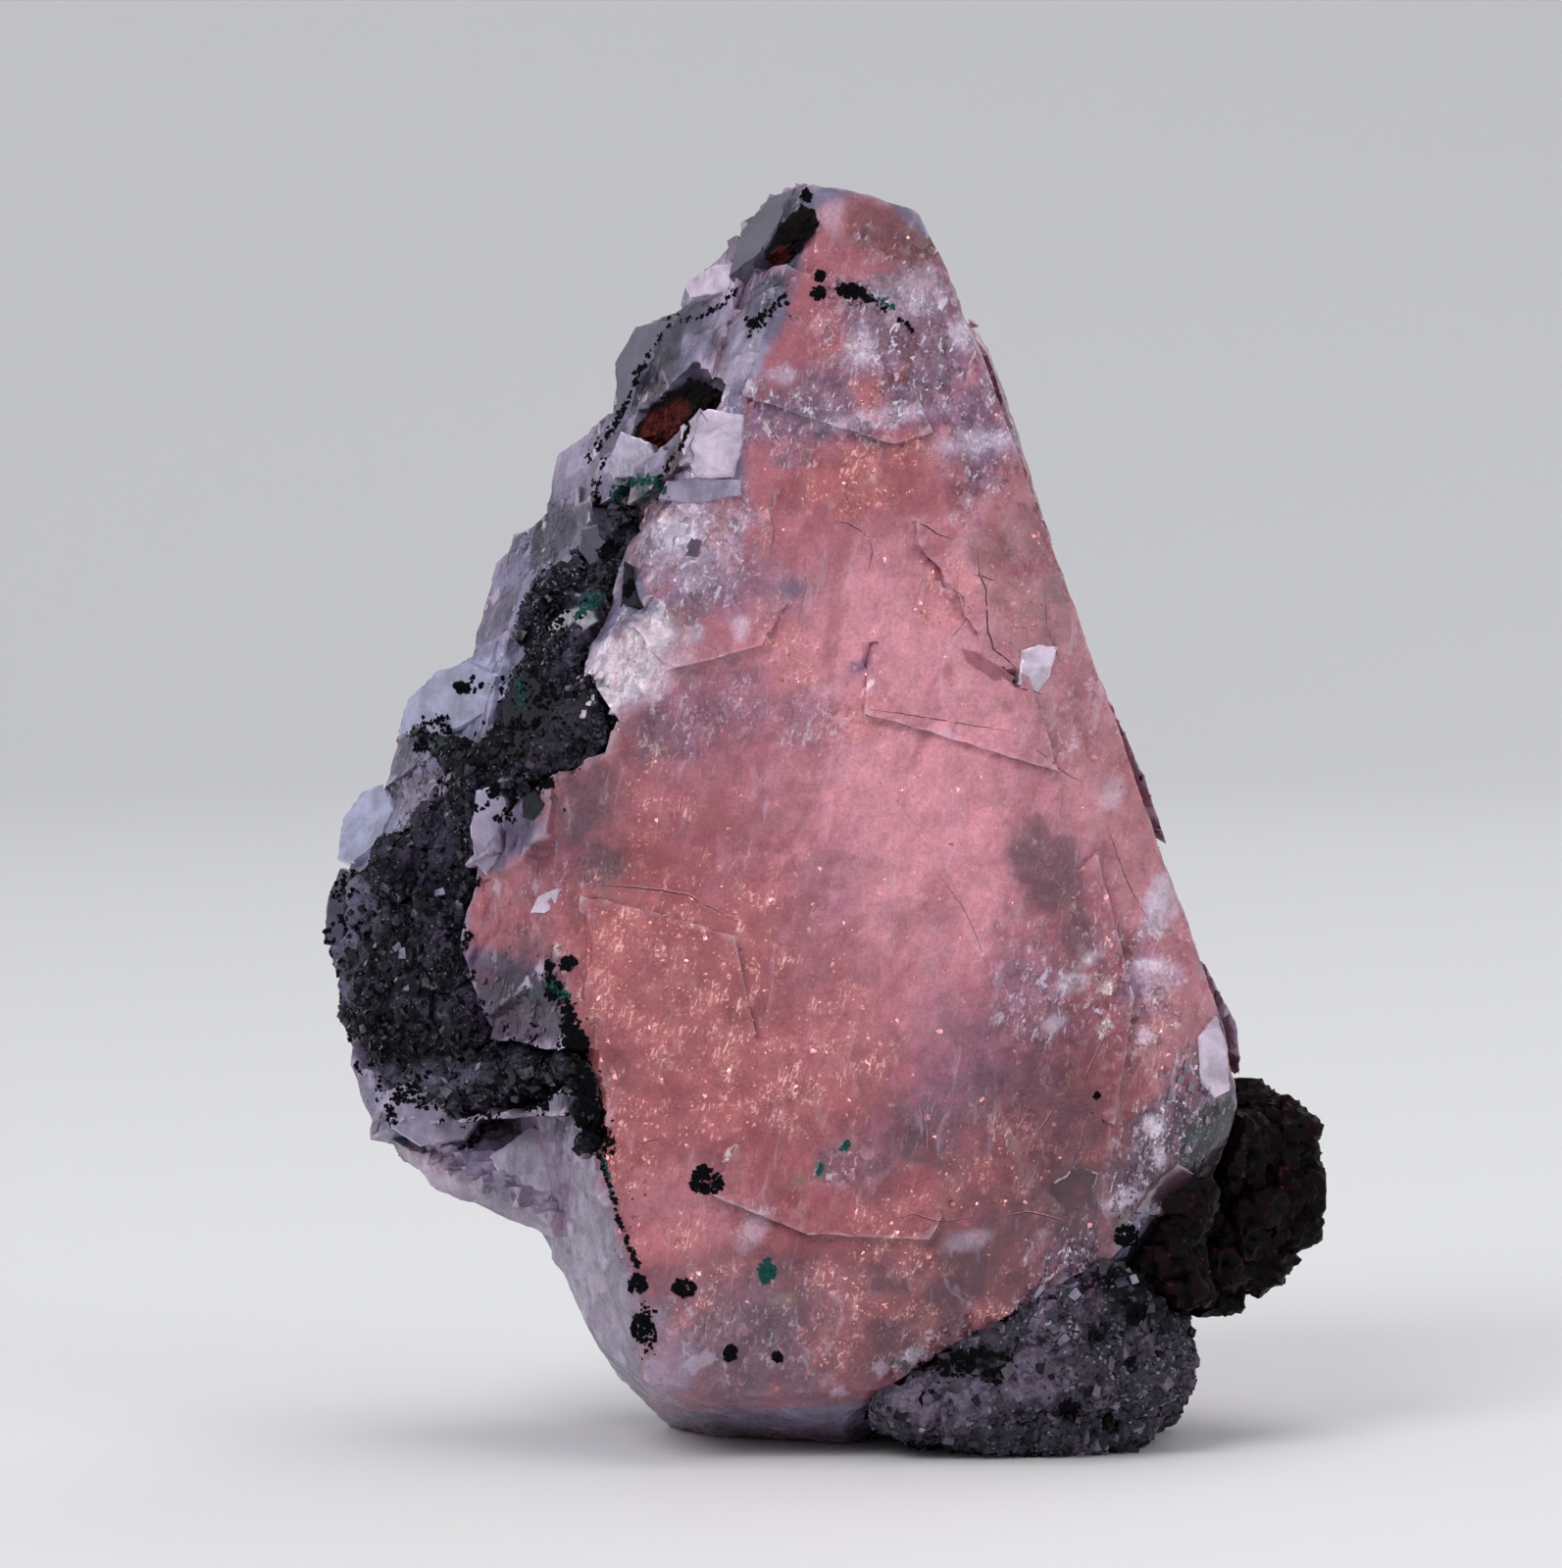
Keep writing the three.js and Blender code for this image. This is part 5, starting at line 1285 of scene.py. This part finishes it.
def paint_crystal(mesh, front, look):
    """Store the crystal's colours: patches where the photograph shows them, and clouds on the other sides."""
    points = points_of(mesh)
    normals = normals_of(mesh)
    pixels = in_photo(points)
    facing = smooth(0.02, 0.3, -(normals @ SIGHT))
    ragged = field(points, 1.4, 13.0, 4) * 0.35 + field(points, 0.55, 17.0, 2) * 0.3
    broad = field(points, 6.0, 19.0, 3)

    seen_pink = smooth(-6, 6, inside_outline(pixels, PINK_OUTLINE) + 14 * ragged)
    solid_pink = smooth(-1.5, 3.5, points[:, 0] * 0.9 - points[:, 1] * 0.25 + 3 + 6 * broad)
    pink = facing * seen_pink + (1 - facing) * solid_pink

    colour = np.tile(look.flank_white, (len(points), 1))

    def lay(name, mask):
        """Put a tone over the colours as far as a mask says."""
        nonlocal colour
        colour = colour + mask[:, None] * (np.array(getattr(look, name)) - colour)

    lay("rose", pink)

    # Clouds of tones on the sides that the photograph doesn't show, then the patches on those that it does
    hidden = 1 - facing
    for name, size, shift, low, high in [
        ("salmon", 6, 41, 0.0, 0.5), ("haze", 4.4, 47, 0.15, 0.6), ("pearl_and_highlight", 4.0, 53, 0.35, 0.7),
        ("dusk_and_shade", 6, 59, 0.2, 0.6), ("lilac_white", 6, 61, 0.2, 0.6),
    ]:
        lay(name, hidden * 0.5 * smooth(low, high, field(points, size, shift, 4)))
    for patches, side in ((FLANK_PATCHES, 1 - seen_pink), (FRONT_PATCHES, seen_pink)):
        for name, place, reach, turn, strength, soft in patches:
            lay(name, facing * side * strength * patch_mask(pixels, ragged, place, reach, turn, soft))

    def spread(patches):
        """How dense something lies at each point, from patches that name its density."""
        total = np.zeros(len(points))
        for place, reach, turn, density in patches:
            total = np.maximum(total, density * patch_mask(pixels, ragged * 1.5, place, reach, turn, 0.5))
        return total * facing

    flecks = spread(FLECK_PATCHES) * seen_pink
    # A painted glow over the salmon tint where the copper flecks crowd.
    lay("glow", 0.35 * flecks)
    flecks = np.maximum(flecks, pink * 0.08)
    flecks = flecks + hidden * pink * 0.3 * smooth(0.1, 0.6, field(points, 3, 67))
    specks = spread(SPECK_PATCHES) + hidden * (1 - pink) * 0.3 * smooth(0.2, 0.6, field(points, 2.4, 71))
    clear = facing * 0.2 * patch_mask(pixels, ragged * 0.3, *CLEAR_FACET, 0.3)
    give(mesh, "tint", np.clip(colour, 0, 1))
    even = smooth(15, 12, points[:, 2]) * facing
    give(mesh, "flank", np.clip((1 - front) * (1 - 0.8 * pink) * (1 - 0.6 * even), 0, 1))
    give(mesh, "frost", np.clip(spread(FROST_PATCHES) + hidden * 0.5 * smooth(0.0, 0.5, broad), 0, 1))
    give(mesh, "fleck", np.clip(flecks, 0, 1))
    give(mesh, "speck", np.clip(specks, 0, 1))
    give(mesh, "clear", np.clip(clear, 0, 1))


def build_crystal(look, flecks):
    """The dressed crystal."""
    mesh, front = crystal_shape(look)
    paint_crystal(mesh, front, look)
    as_piece("calcite", mesh, calcite_material(look, flecks), ["calcite_crystal"], sharp_angle=28)


def build_flecks(look):
    """Thin copper plates in the crystal's skin, thickest where the flecks crowd."""
    dice = random.Random(SEEDS["flecks"])
    mesh = bpy.data.objects["calcite"].data
    points = points_of(mesh)
    normals = normals_of(mesh)
    density = np.empty(len(points))
    mesh.attributes["fleck"].data.foreach_get("value", density)
    crowd = smooth(-0.15, 0.45, field(points, 1.0, 83.0, 4))
    weights = np.where(density > 0.12, density**1.2 * (0.12 + crowd), 0.008 * (density > 0.05))
    chosen = dice.choices(range(len(points)), weights=weights.tolist(), k=look.count)
    heap = Heap()
    for index in chosen:
        up = Vector(normals[index]).normalized()
        along = Vector(CLEAVAGE[0]) + 0.8 * Vector((dice.gauss(0, 1), dice.gauss(0, 1), dice.gauss(0, 1)))
        along = (along - up * along.dot(up)).normalized()
        axes = np.array((along, up.cross(along), up))
        lean = Vector((dice.gauss(0, 0.4), dice.gauss(0, 0.4), 1)).normalized()
        width = look.smallest + (look.largest - look.smallest) * dice.random() ** 2.2
        sides = dice.randint(4, 6)
        long = dice.uniform(1.0, 2.6)
        rim = []
        for side in range(sides):
            angle = math.tau * (side + dice.uniform(-0.3, 0.3)) / sides
            reach = width / MM / 2 * dice.uniform(0.7, 1.15)
            flat = Vector((math.cos(angle) * reach * long, math.sin(angle) * reach, 0))
            flat.z = -(flat.x * lean.x + flat.y * lean.y)
            rim.append(np.array(flat) @ axes)
        middle = points[index] + normals[index] * dice.uniform(-0.01, 0.02)
        thick = normals[index] * 0.012
        top = [middle + edge + thick for edge in rim]
        bottom = [middle + edge - thick for edge in rim]
        faces = [tuple(range(sides)), tuple(range(2 * sides - 1, sides - 1, -1)), *ring_faces(sides, 2)]
        shade = dice.uniform(0.45, 1.05)
        heap.add(top + bottom, faces, [min(1, part * shade) for part in look.copper])
    material = tinted_material("copper_flecks", look.copper, 0.5, metallic=0.6)
    as_piece("copper_flecks", heap.mesh("copper_flecks"), material, sharp_angle=20)


# The rocks


def facets(points, size):
    """Heights of tilted facets, one for each cell of a size in millimetres, like crystals packed together."""
    half = Vector((0.5, 0.5, 0.5))
    heights = np.empty(len(points))
    for index, point in enumerate(points):
        place = Vector(point) / size
        _, centres = noise.voronoi(place)
        tilt = noise.cell_vector(centres[0] * 7.3) - half
        heights[index] = (noise.cell(centres[0] * 5.1) - 0.5) * 0.8 + (place - centres[0]).dot(tilt) * 1.6
    return heights


def grainy_shape(node, look):
    """A rock's mesh, evened out, grown to its neighbours and covered with packed facets."""
    mesh = dense_mesh(node, look.cell)
    settle(mesh, node, 0.3)
    even_out(mesh, look.softening)
    points = points_of(mesh)
    normals = normals_of(mesh)
    even_out(mesh, 12)
    broad_normals = normals_of(mesh)
    move_points(mesh, points)
    grain = look.grain / MM
    relief = look.relief / MM
    heights = 0.8 * facets(points, 2.2 * grain) + 0.5 * facets(points + 40, grain)
    heights += field(points, 0.6, 3.0, 6)
    normals = normals + 2 * broad_normals
    normals /= np.linalg.norm(normals, axis=1)[:, None] + 1e-9
    moved = points + normals * (look.closing / MM + relief * heights)[:, None]
    move_points(mesh, kept_in_box(moved, node))
    return mesh


def stain_rock(mesh, look, patches):
    """Store stained patches, seen at pixels of the photograph, on a rock."""
    points = points_of(mesh)
    pixels = in_photo(points)
    ragged = field(points, 0.8, 13.0, 4) * 0.4
    colour = np.zeros((len(points), 3))
    stain = np.zeros(len(points))
    for name, place, reach, turn, strength in patches:
        mask = strength * patch_mask(pixels, ragged, place, reach, turn, 0.3)
        colour += (mask / np.maximum(mask + stain, 1e-6))[:, None] * (np.array(getattr(look, name)) - colour)
        stain = np.maximum(stain, mask)
    give(mesh, "tint", colour)
    give(mesh, "stain", stain)


def scatter_grains(heap, mesh, count, dice, tones, sizes):
    """Angular grains set at random in a rock's surface."""
    points = points_of(mesh)
    normals = normals_of(mesh)
    for _ in range(count):
        index = dice.randrange(len(points))
        size = sizes[0] + (sizes[1] - sizes[0]) * dice.random() ** 3
        colour = dice.choices([entry[0] for entry in tones], weights=[entry[1] for entry in tones])[0]
        angular_grain(heap, points[index], normals[index], size, colour, dice)


def build_dark_rock(look):
    """The dark chlorite rock in the flank's hollow, with its grains."""
    dice = random.Random(SEEDS["dark_rock"])
    mesh = grainy_shape("chlorite_rock", look)
    stain_rock(mesh, look, DARK_ROCK_PATCHES)
    steps = [(0.0, look.black), (0.5, look.navy), (0.62, look.green), (0.7, look.grey)]
    steps += [(0.9, look.smoky_lilac), (0.98, look.pale)]
    material = rock_material("dark_chlorite", steps, look.smoky_lilac, look.pale, 0.3)
    as_piece("dark_rock", mesh, material, ["chlorite_rock"], sharp_angle=35)
    heap = Heap()
    tones = [(look.black, 8), (look.navy, 4), (look.green, 3), (look.grey, 4)]
    tones += [(look.smoky_lilac, 1.5), (look.pale, 0.5)]
    scatter_grains(heap, mesh, look.loose_grains, dice, tones, DARK_ROCK_GRAINS)
    material = tinted_material("dark_grains", look.grey, 0.3, shine=0.25)
    as_piece("dark_grains", heap.mesh("dark_grains"), material, sharp_angle=20)


def build_grey_rock(look):
    """The grey rock foot, with its grains."""
    dice = random.Random(SEEDS["grey_rock"])
    mesh = grainy_shape("grey_foot_rock", look)
    stain_rock(mesh, look, FOOT_PATCHES)
    steps = [(0.0, look.foot_dark), (0.2, look.foot_grey), (0.5, look.grey), (0.7, look.foot_grey)]
    steps += [(0.93, look.pale)]
    material = rock_material("grey_rock", steps, look.foot_lilac, look.pale, 0.36)
    as_piece("grey_foot", mesh, material, ["grey_foot_rock"], sharp_angle=35)
    heap = Heap()
    tones = [(look.black, 4), (look.grey, 4), (look.foot_grey, 5), (look.foot_lilac, 1.5), (look.pale, 0.6)]
    scatter_grains(heap, mesh, look.loose_grains // 2, dice, tones, FOOT_GRAINS)
    material = tinted_material("foot_grains", look.grey, 0.35, shine=0.25)
    as_piece("foot_grains", heap.mesh("foot_grains"), material, sharp_angle=20)


# The copper


def build_sponge(look):
    """The spongy native copper behind the lower right corner."""
    mesh = dense_mesh("copper_sponge", look.cell * 1.2)
    settle(mesh, "copper_sponge", 0.3)
    points = points_of(mesh)
    normals = normals_of(mesh)
    pit = look.pit / MM
    heights = np.empty(len(points))
    for index, point in enumerate(points):
        coarse, _ = noise.voronoi(Vector(point) / pit)
        fine, _ = noise.voronoi(Vector(point) / (0.42 * pit))
        heights[index] = min(1.0, 1.5 * coarse[0]) + 0.45 * min(1.0, 1.4 * fine[0]) - 0.9
    heights += 0.3 * field(points, 0.4, 9.0, 5) + 0.35 * facets(points, 0.45)
    moved = points + normals * (heights * look.pit_depth / MM + 0.15)[:, None]
    move_points(mesh, kept_in_box(moved, "copper_sponge"))
    give(mesh, "crest", smooth(-0.1, 0.45, heights))
    material = copper_material("dark_copper", look, look.tarnish, look.crest, 0.42)
    as_piece("sponge", mesh, material, ["copper_sponge"], sharp_angle=50)


def build_sheets(look):
    """The two sheets of copper on the upper flank: slim plates, red below and black above."""
    red_parts = {
        "copper_sheet_upper": ((678, 432), (1.25, 0.6), 40, 0.66),
        "copper_sheet_tip": ((795, 262), (0.5, 0.3), 50, 0.58),
    }
    material = copper_material("red_copper", look, look.tarnish, look.red, 0.38)
    tree = surface_tree(["calcite"])
    for node, (place, reach, turn, slim) in red_parts.items():
        mesh = dense_mesh(node, look.cell * 0.8)
        settle(mesh, node, 0.3)
        points = points_of(mesh)
        normals = normals_of(mesh)
        relief = 0.16 * field(points, 0.5, 3.0, 4) + 0.08 * field(points, 0.2, 8.0, 3)
        across = RIGHT * math.sin(math.radians(turn)) - UP * math.cos(math.radians(turn))
        off_axis = (points - points.mean(axis=0)) @ across
        points = points + normals * relief[:, None] - np.outer((1 - slim) * off_axis, across)
        hits = [landing(tree, pixel)[0] for pixel in in_photo(points)]
        gaps = (np.array(hits) - points) @ SIGHT
        pressed = 0.3 + 0.45 * (gaps - gaps.mean())
        points = points + np.outer(gaps - pressed, SIGHT)
        move_points(mesh, kept_in_box(points, "calcite_crystal"))
        red = patch_mask(in_photo(points), 0.3 * field(points, 0.6, 5.0), place, reach, turn, 0.3)
        give(mesh, "crest", red)
        as_piece(node + "_dressed", mesh, material, [node], sharp_angle=40)


# Marks on the crystal


def build_crystals(look):
    """Pale, rosy and slate crystals and chips that stand out of the surface."""
    dice = random.Random(SEEDS["crystals"])
    tree = surface_tree(["calcite", "dark_rock", "grey_foot"])
    heap = Heap()
    for name, outline, height in CRYSTALS:
        flat_crystal(heap, tree, outline, height, getattr(look, name), dice)
    for name, place, reach, turn, count, widest in CHIP_PATCHES:
        angle = math.radians(turn)
        for _ in range(count):
            far, way = math.sqrt(dice.random()), dice.uniform(0, math.tau)
            along, across = far * math.cos(way) * reach[0], far * math.sin(way) * reach[1]
            pixel = (place[0] + PX_PER_MM * (along * math.cos(angle) + across * math.sin(angle)),
                     place[1] + PX_PER_MM * (across * math.cos(angle) - along * math.sin(angle)))
            hit, normal = landing(tree, pixel)
            if hit is not None:
                width = widest * (0.25 + 0.75 * dice.random() ** 2)
                cleavage_chip(heap, hit - normal * 0.28 * width, width, getattr(look, name), dice)
    material = crystal_material("pale_crystals", look.pearl_and_highlight, 0.2)
    as_piece("pale_crystals", heap.mesh("pale_crystals"), material, sharp_angle=12)
    slate = Heap()
    for outline, height in SLATE_CRYSTALS:
        flat_crystal(slate, tree, outline, height, look.slate, dice)
    material = tinted_material("slate_crystals", look.slate, 0.5, shine=0.12)
    as_piece("slate_crystals", slate.mesh("slate_crystals"), material, sharp_angle=12)


def build_marks(look):
    """Black spots, veins, the teal nugget and the cracks."""
    dice = random.Random(SEEDS["marks"])
    tree = surface_tree(["calcite", "dark_rock", "grey_foot", "pale_crystals", "slate_crystals"])
    tones = {"black": look.crumb, "teal": look.teal}
    spots = Heap()
    for place, radius, stretch in BLACK_SPOTS:
        crumb_patch(spots, tree, place, radius, stretch, look.crumb, dice)
    for name, route, half_width, count in VEINS:
        grain_vein(spots, tree, route, half_width, count, tones[name], dice)
    crumb_patch(spots, tree, *TEAL_NUGGET, look.teal, dice)
    rock = surface_tree(["dark_rock"])
    crumble_border(spots, tree, rock, FLANK_WINDOW, CRUMB_TRIES, look.crumb, dice)
    material = tinted_material("dark_spots", look.slate, 0.8, shine=0.04)
    as_piece("dark_spots", spots.mesh("dark_spots"), material, sharp_angle=20)
    cracks = Heap()
    # The dark line in each crack is painted shade, and the pale rose lip beside it is a painted highlight.
    dark = [part * 0.6 for part in look.dusk_and_shade]
    for route, width in CRACKS:
        crack_ribbon(cracks, tree, route, width, dark, look.pale_rose_and_highlight, dice)
    as_piece("cracks", cracks.mesh("cracks"), tinted_material("cracks", look.dusk_and_shade, 0.4))


# The stage


def build_stage(look):
    """A pale floor that curves up all round, soft lights and the camera."""
    flat_radius = 0.6
    curve_radius = 0.35
    curve_steps = 16
    profile = [(0.0, 0.0), (flat_radius, 0.0)]
    for step in range(1, curve_steps + 1):
        angle = math.pi / 2 * step / curve_steps
        profile.append((flat_radius + curve_radius * math.sin(angle), curve_radius * (1 - math.cos(angle))))
    sides = 96
    points = [(0, 0, 0)]
    for radius, height in profile[1:]:
        points += [(radius * math.cos(math.tau * k / sides), radius * math.sin(math.tau * k / sides), height)
                   for k in range(sides)]
    faces = [(0, 1 + k, 1 + (k + 1) % sides) for k in range(sides)]
    faces += ring_faces(sides, len(profile) - 1, start=1)
    mesh = bpy.data.meshes.new("floor")
    mesh.from_pydata(points, [], faces)
    mesh.shade_smooth()
    shader = Shader("pale_floor", look.floor)
    grain = shader.clouds(2.5, 3, 0.5)
    shader.finish(Base_Color=look.floor, Roughness=0.7, Normal=shader.bump(grain, 0.05, 0.2))
    mesh.materials.append(shader.material)
    floor = bpy.data.objects.new("floor", mesh)
    bpy.context.scene.collection.objects.link(floor)

    lights = [
        ("key", look.key_power, (-0.30, -0.46, 0.42), 0.34),
        ("fill", look.fill_power, (0.48, -0.42, 0.22), 0.45),
        ("top", look.top_power, (0.05, 0.05, 0.62), 0.5),
        ("back", look.back_power, (0.30, 0.5, 0.4), 0.45),
    ]
    for name, power, place, width in lights:
        data = bpy.data.lights.new(name, "AREA")
        data.energy = power
        data.shape = "DISK"
        data.size = width
        lamp = bpy.data.objects.new(name, data)
        lamp.location = place
        lamp.rotation_euler = (Vector((0, 0, 0.025)) - Vector(place)).to_track_quat("-Z", "Y").to_euler()
        bpy.context.scene.collection.objects.link(lamp)

    world = bpy.data.worlds.new("soft surroundings")
    world.use_nodes = True
    background = world.node_tree.nodes["Background"]
    background.inputs["Color"].default_value = (0.95, 0.96, 1.0, 1)
    background.inputs["Strength"].default_value = look.world
    bpy.context.scene.world = world
    bpy.context.scene.view_settings.view_transform = "Standard"

    lens = bpy.data.cameras.new("camera")
    lens.sensor_width = 36
    frame_height = max(FRAME_PX) / PX_PER_MM
    lens.lens = lens.sensor_width * float(np.linalg.norm(AIM - EYE)) / frame_height
    camera = bpy.data.objects.new("camera", lens)
    camera.location = Vector(EYE) * MM
    camera.rotation_euler = Vector(SIGHT).to_track_quat("-Z", "Y").to_euler()
    bpy.context.scene.collection.objects.link(camera)
    bpy.context.scene.camera = camera


# Operators and panel


class MINERAL_OT_stage(bpy.types.Operator):
    """Build the floor, the lights and the camera"""

    bl_idname = "mineral.stage"
    bl_label = "Stage"

    def execute(self, context):
        build_stage(context.scene.stage_look)
        return {"FINISHED"}


class MINERAL_OT_crystal(bpy.types.Operator):
    """Build the cloudy calcite crystal"""

    bl_idname = "mineral.crystal"
    bl_label = "Calcite crystal"

    def execute(self, context):
        build_crystal(context.scene.calcite_look, context.scene.fleck_look)
        return {"FINISHED"}


class MINERAL_OT_flecks(bpy.types.Operator):
    """Set copper flecks in the crystal"""

    bl_idname = "mineral.flecks"
    bl_label = "Copper flecks"

    def execute(self, context):
        build_flecks(context.scene.fleck_look)
        return {"FINISHED"}


class MINERAL_OT_crystals(bpy.types.Operator):
    """Set the single crystals and chips on the surface"""

    bl_idname = "mineral.crystals"
    bl_label = "Single crystals"

    def execute(self, context):
        build_crystals(context.scene.calcite_look)
        return {"FINISHED"}


class MINERAL_OT_marks(bpy.types.Operator):
    """Set black spots, veins and cracks on the crystal"""

    bl_idname = "mineral.marks"
    bl_label = "Spots, veins and cracks"

    def execute(self, context):
        build_marks(context.scene.calcite_look)
        return {"FINISHED"}


class MINERAL_OT_rocks(bpy.types.Operator):
    """Build the dark rock and the grey rock with their grains"""

    bl_idname = "mineral.rocks"
    bl_label = "Rocks"

    def execute(self, context):
        build_dark_rock(context.scene.rock_look)
        build_grey_rock(context.scene.rock_look)
        return {"FINISHED"}


class MINERAL_OT_copper(bpy.types.Operator):
    """Build the copper sponge and the two copper sheets"""

    bl_idname = "mineral.copper"
    bl_label = "Native copper"

    def execute(self, context):
        build_sponge(context.scene.copper_look)
        build_sheets(context.scene.copper_look)
        return {"FINISHED"}


class MINERAL_PT_build(bpy.types.Panel):
    """Lists the pieces of the stone"""

    bl_label = "Native copper in calcite"
    bl_idname = "MINERAL_PT_build"
    bl_space_type = "VIEW_3D"
    bl_region_type = "UI"
    bl_category = "Mineral"

    def draw(self, context):
        for operator in OPERATORS:
            self.layout.operator(operator.bl_idname)


OPERATORS = [MINERAL_OT_stage, MINERAL_OT_crystal, MINERAL_OT_flecks, MINERAL_OT_rocks, MINERAL_OT_crystals,
             MINERAL_OT_marks, MINERAL_OT_copper]
LOOKS = {
    "calcite_look": CalciteLook,
    "fleck_look": FleckLook,
    "rock_look": RockLook,
    "copper_look": CopperLook,
    "stage_look": StageLook,
}


def register():
    """Add the settings, the operators and the panel."""
    for name, group in LOOKS.items():
        bpy.utils.register_class(group)
        setattr(bpy.types.Scene, name, PointerProperty(type=group))
    for kind in [*OPERATORS, MINERAL_PT_build]:
        bpy.utils.register_class(kind)


def unregister():
    """Take them away again."""
    for kind in reversed([*OPERATORS, MINERAL_PT_build]):
        bpy.utils.unregister_class(kind)
    for name, group in LOOKS.items():
        delattr(bpy.types.Scene, name)
        bpy.utils.unregister_class(group)


def main():
    register()
    bpy.ops.mineral.stage()
    bpy.ops.mineral.crystal()
    bpy.ops.mineral.flecks()
    bpy.ops.mineral.rocks()
    bpy.ops.mineral.crystals()
    bpy.ops.mineral.marks()
    bpy.ops.mineral.copper()


if __name__ == "__main__":
    main()
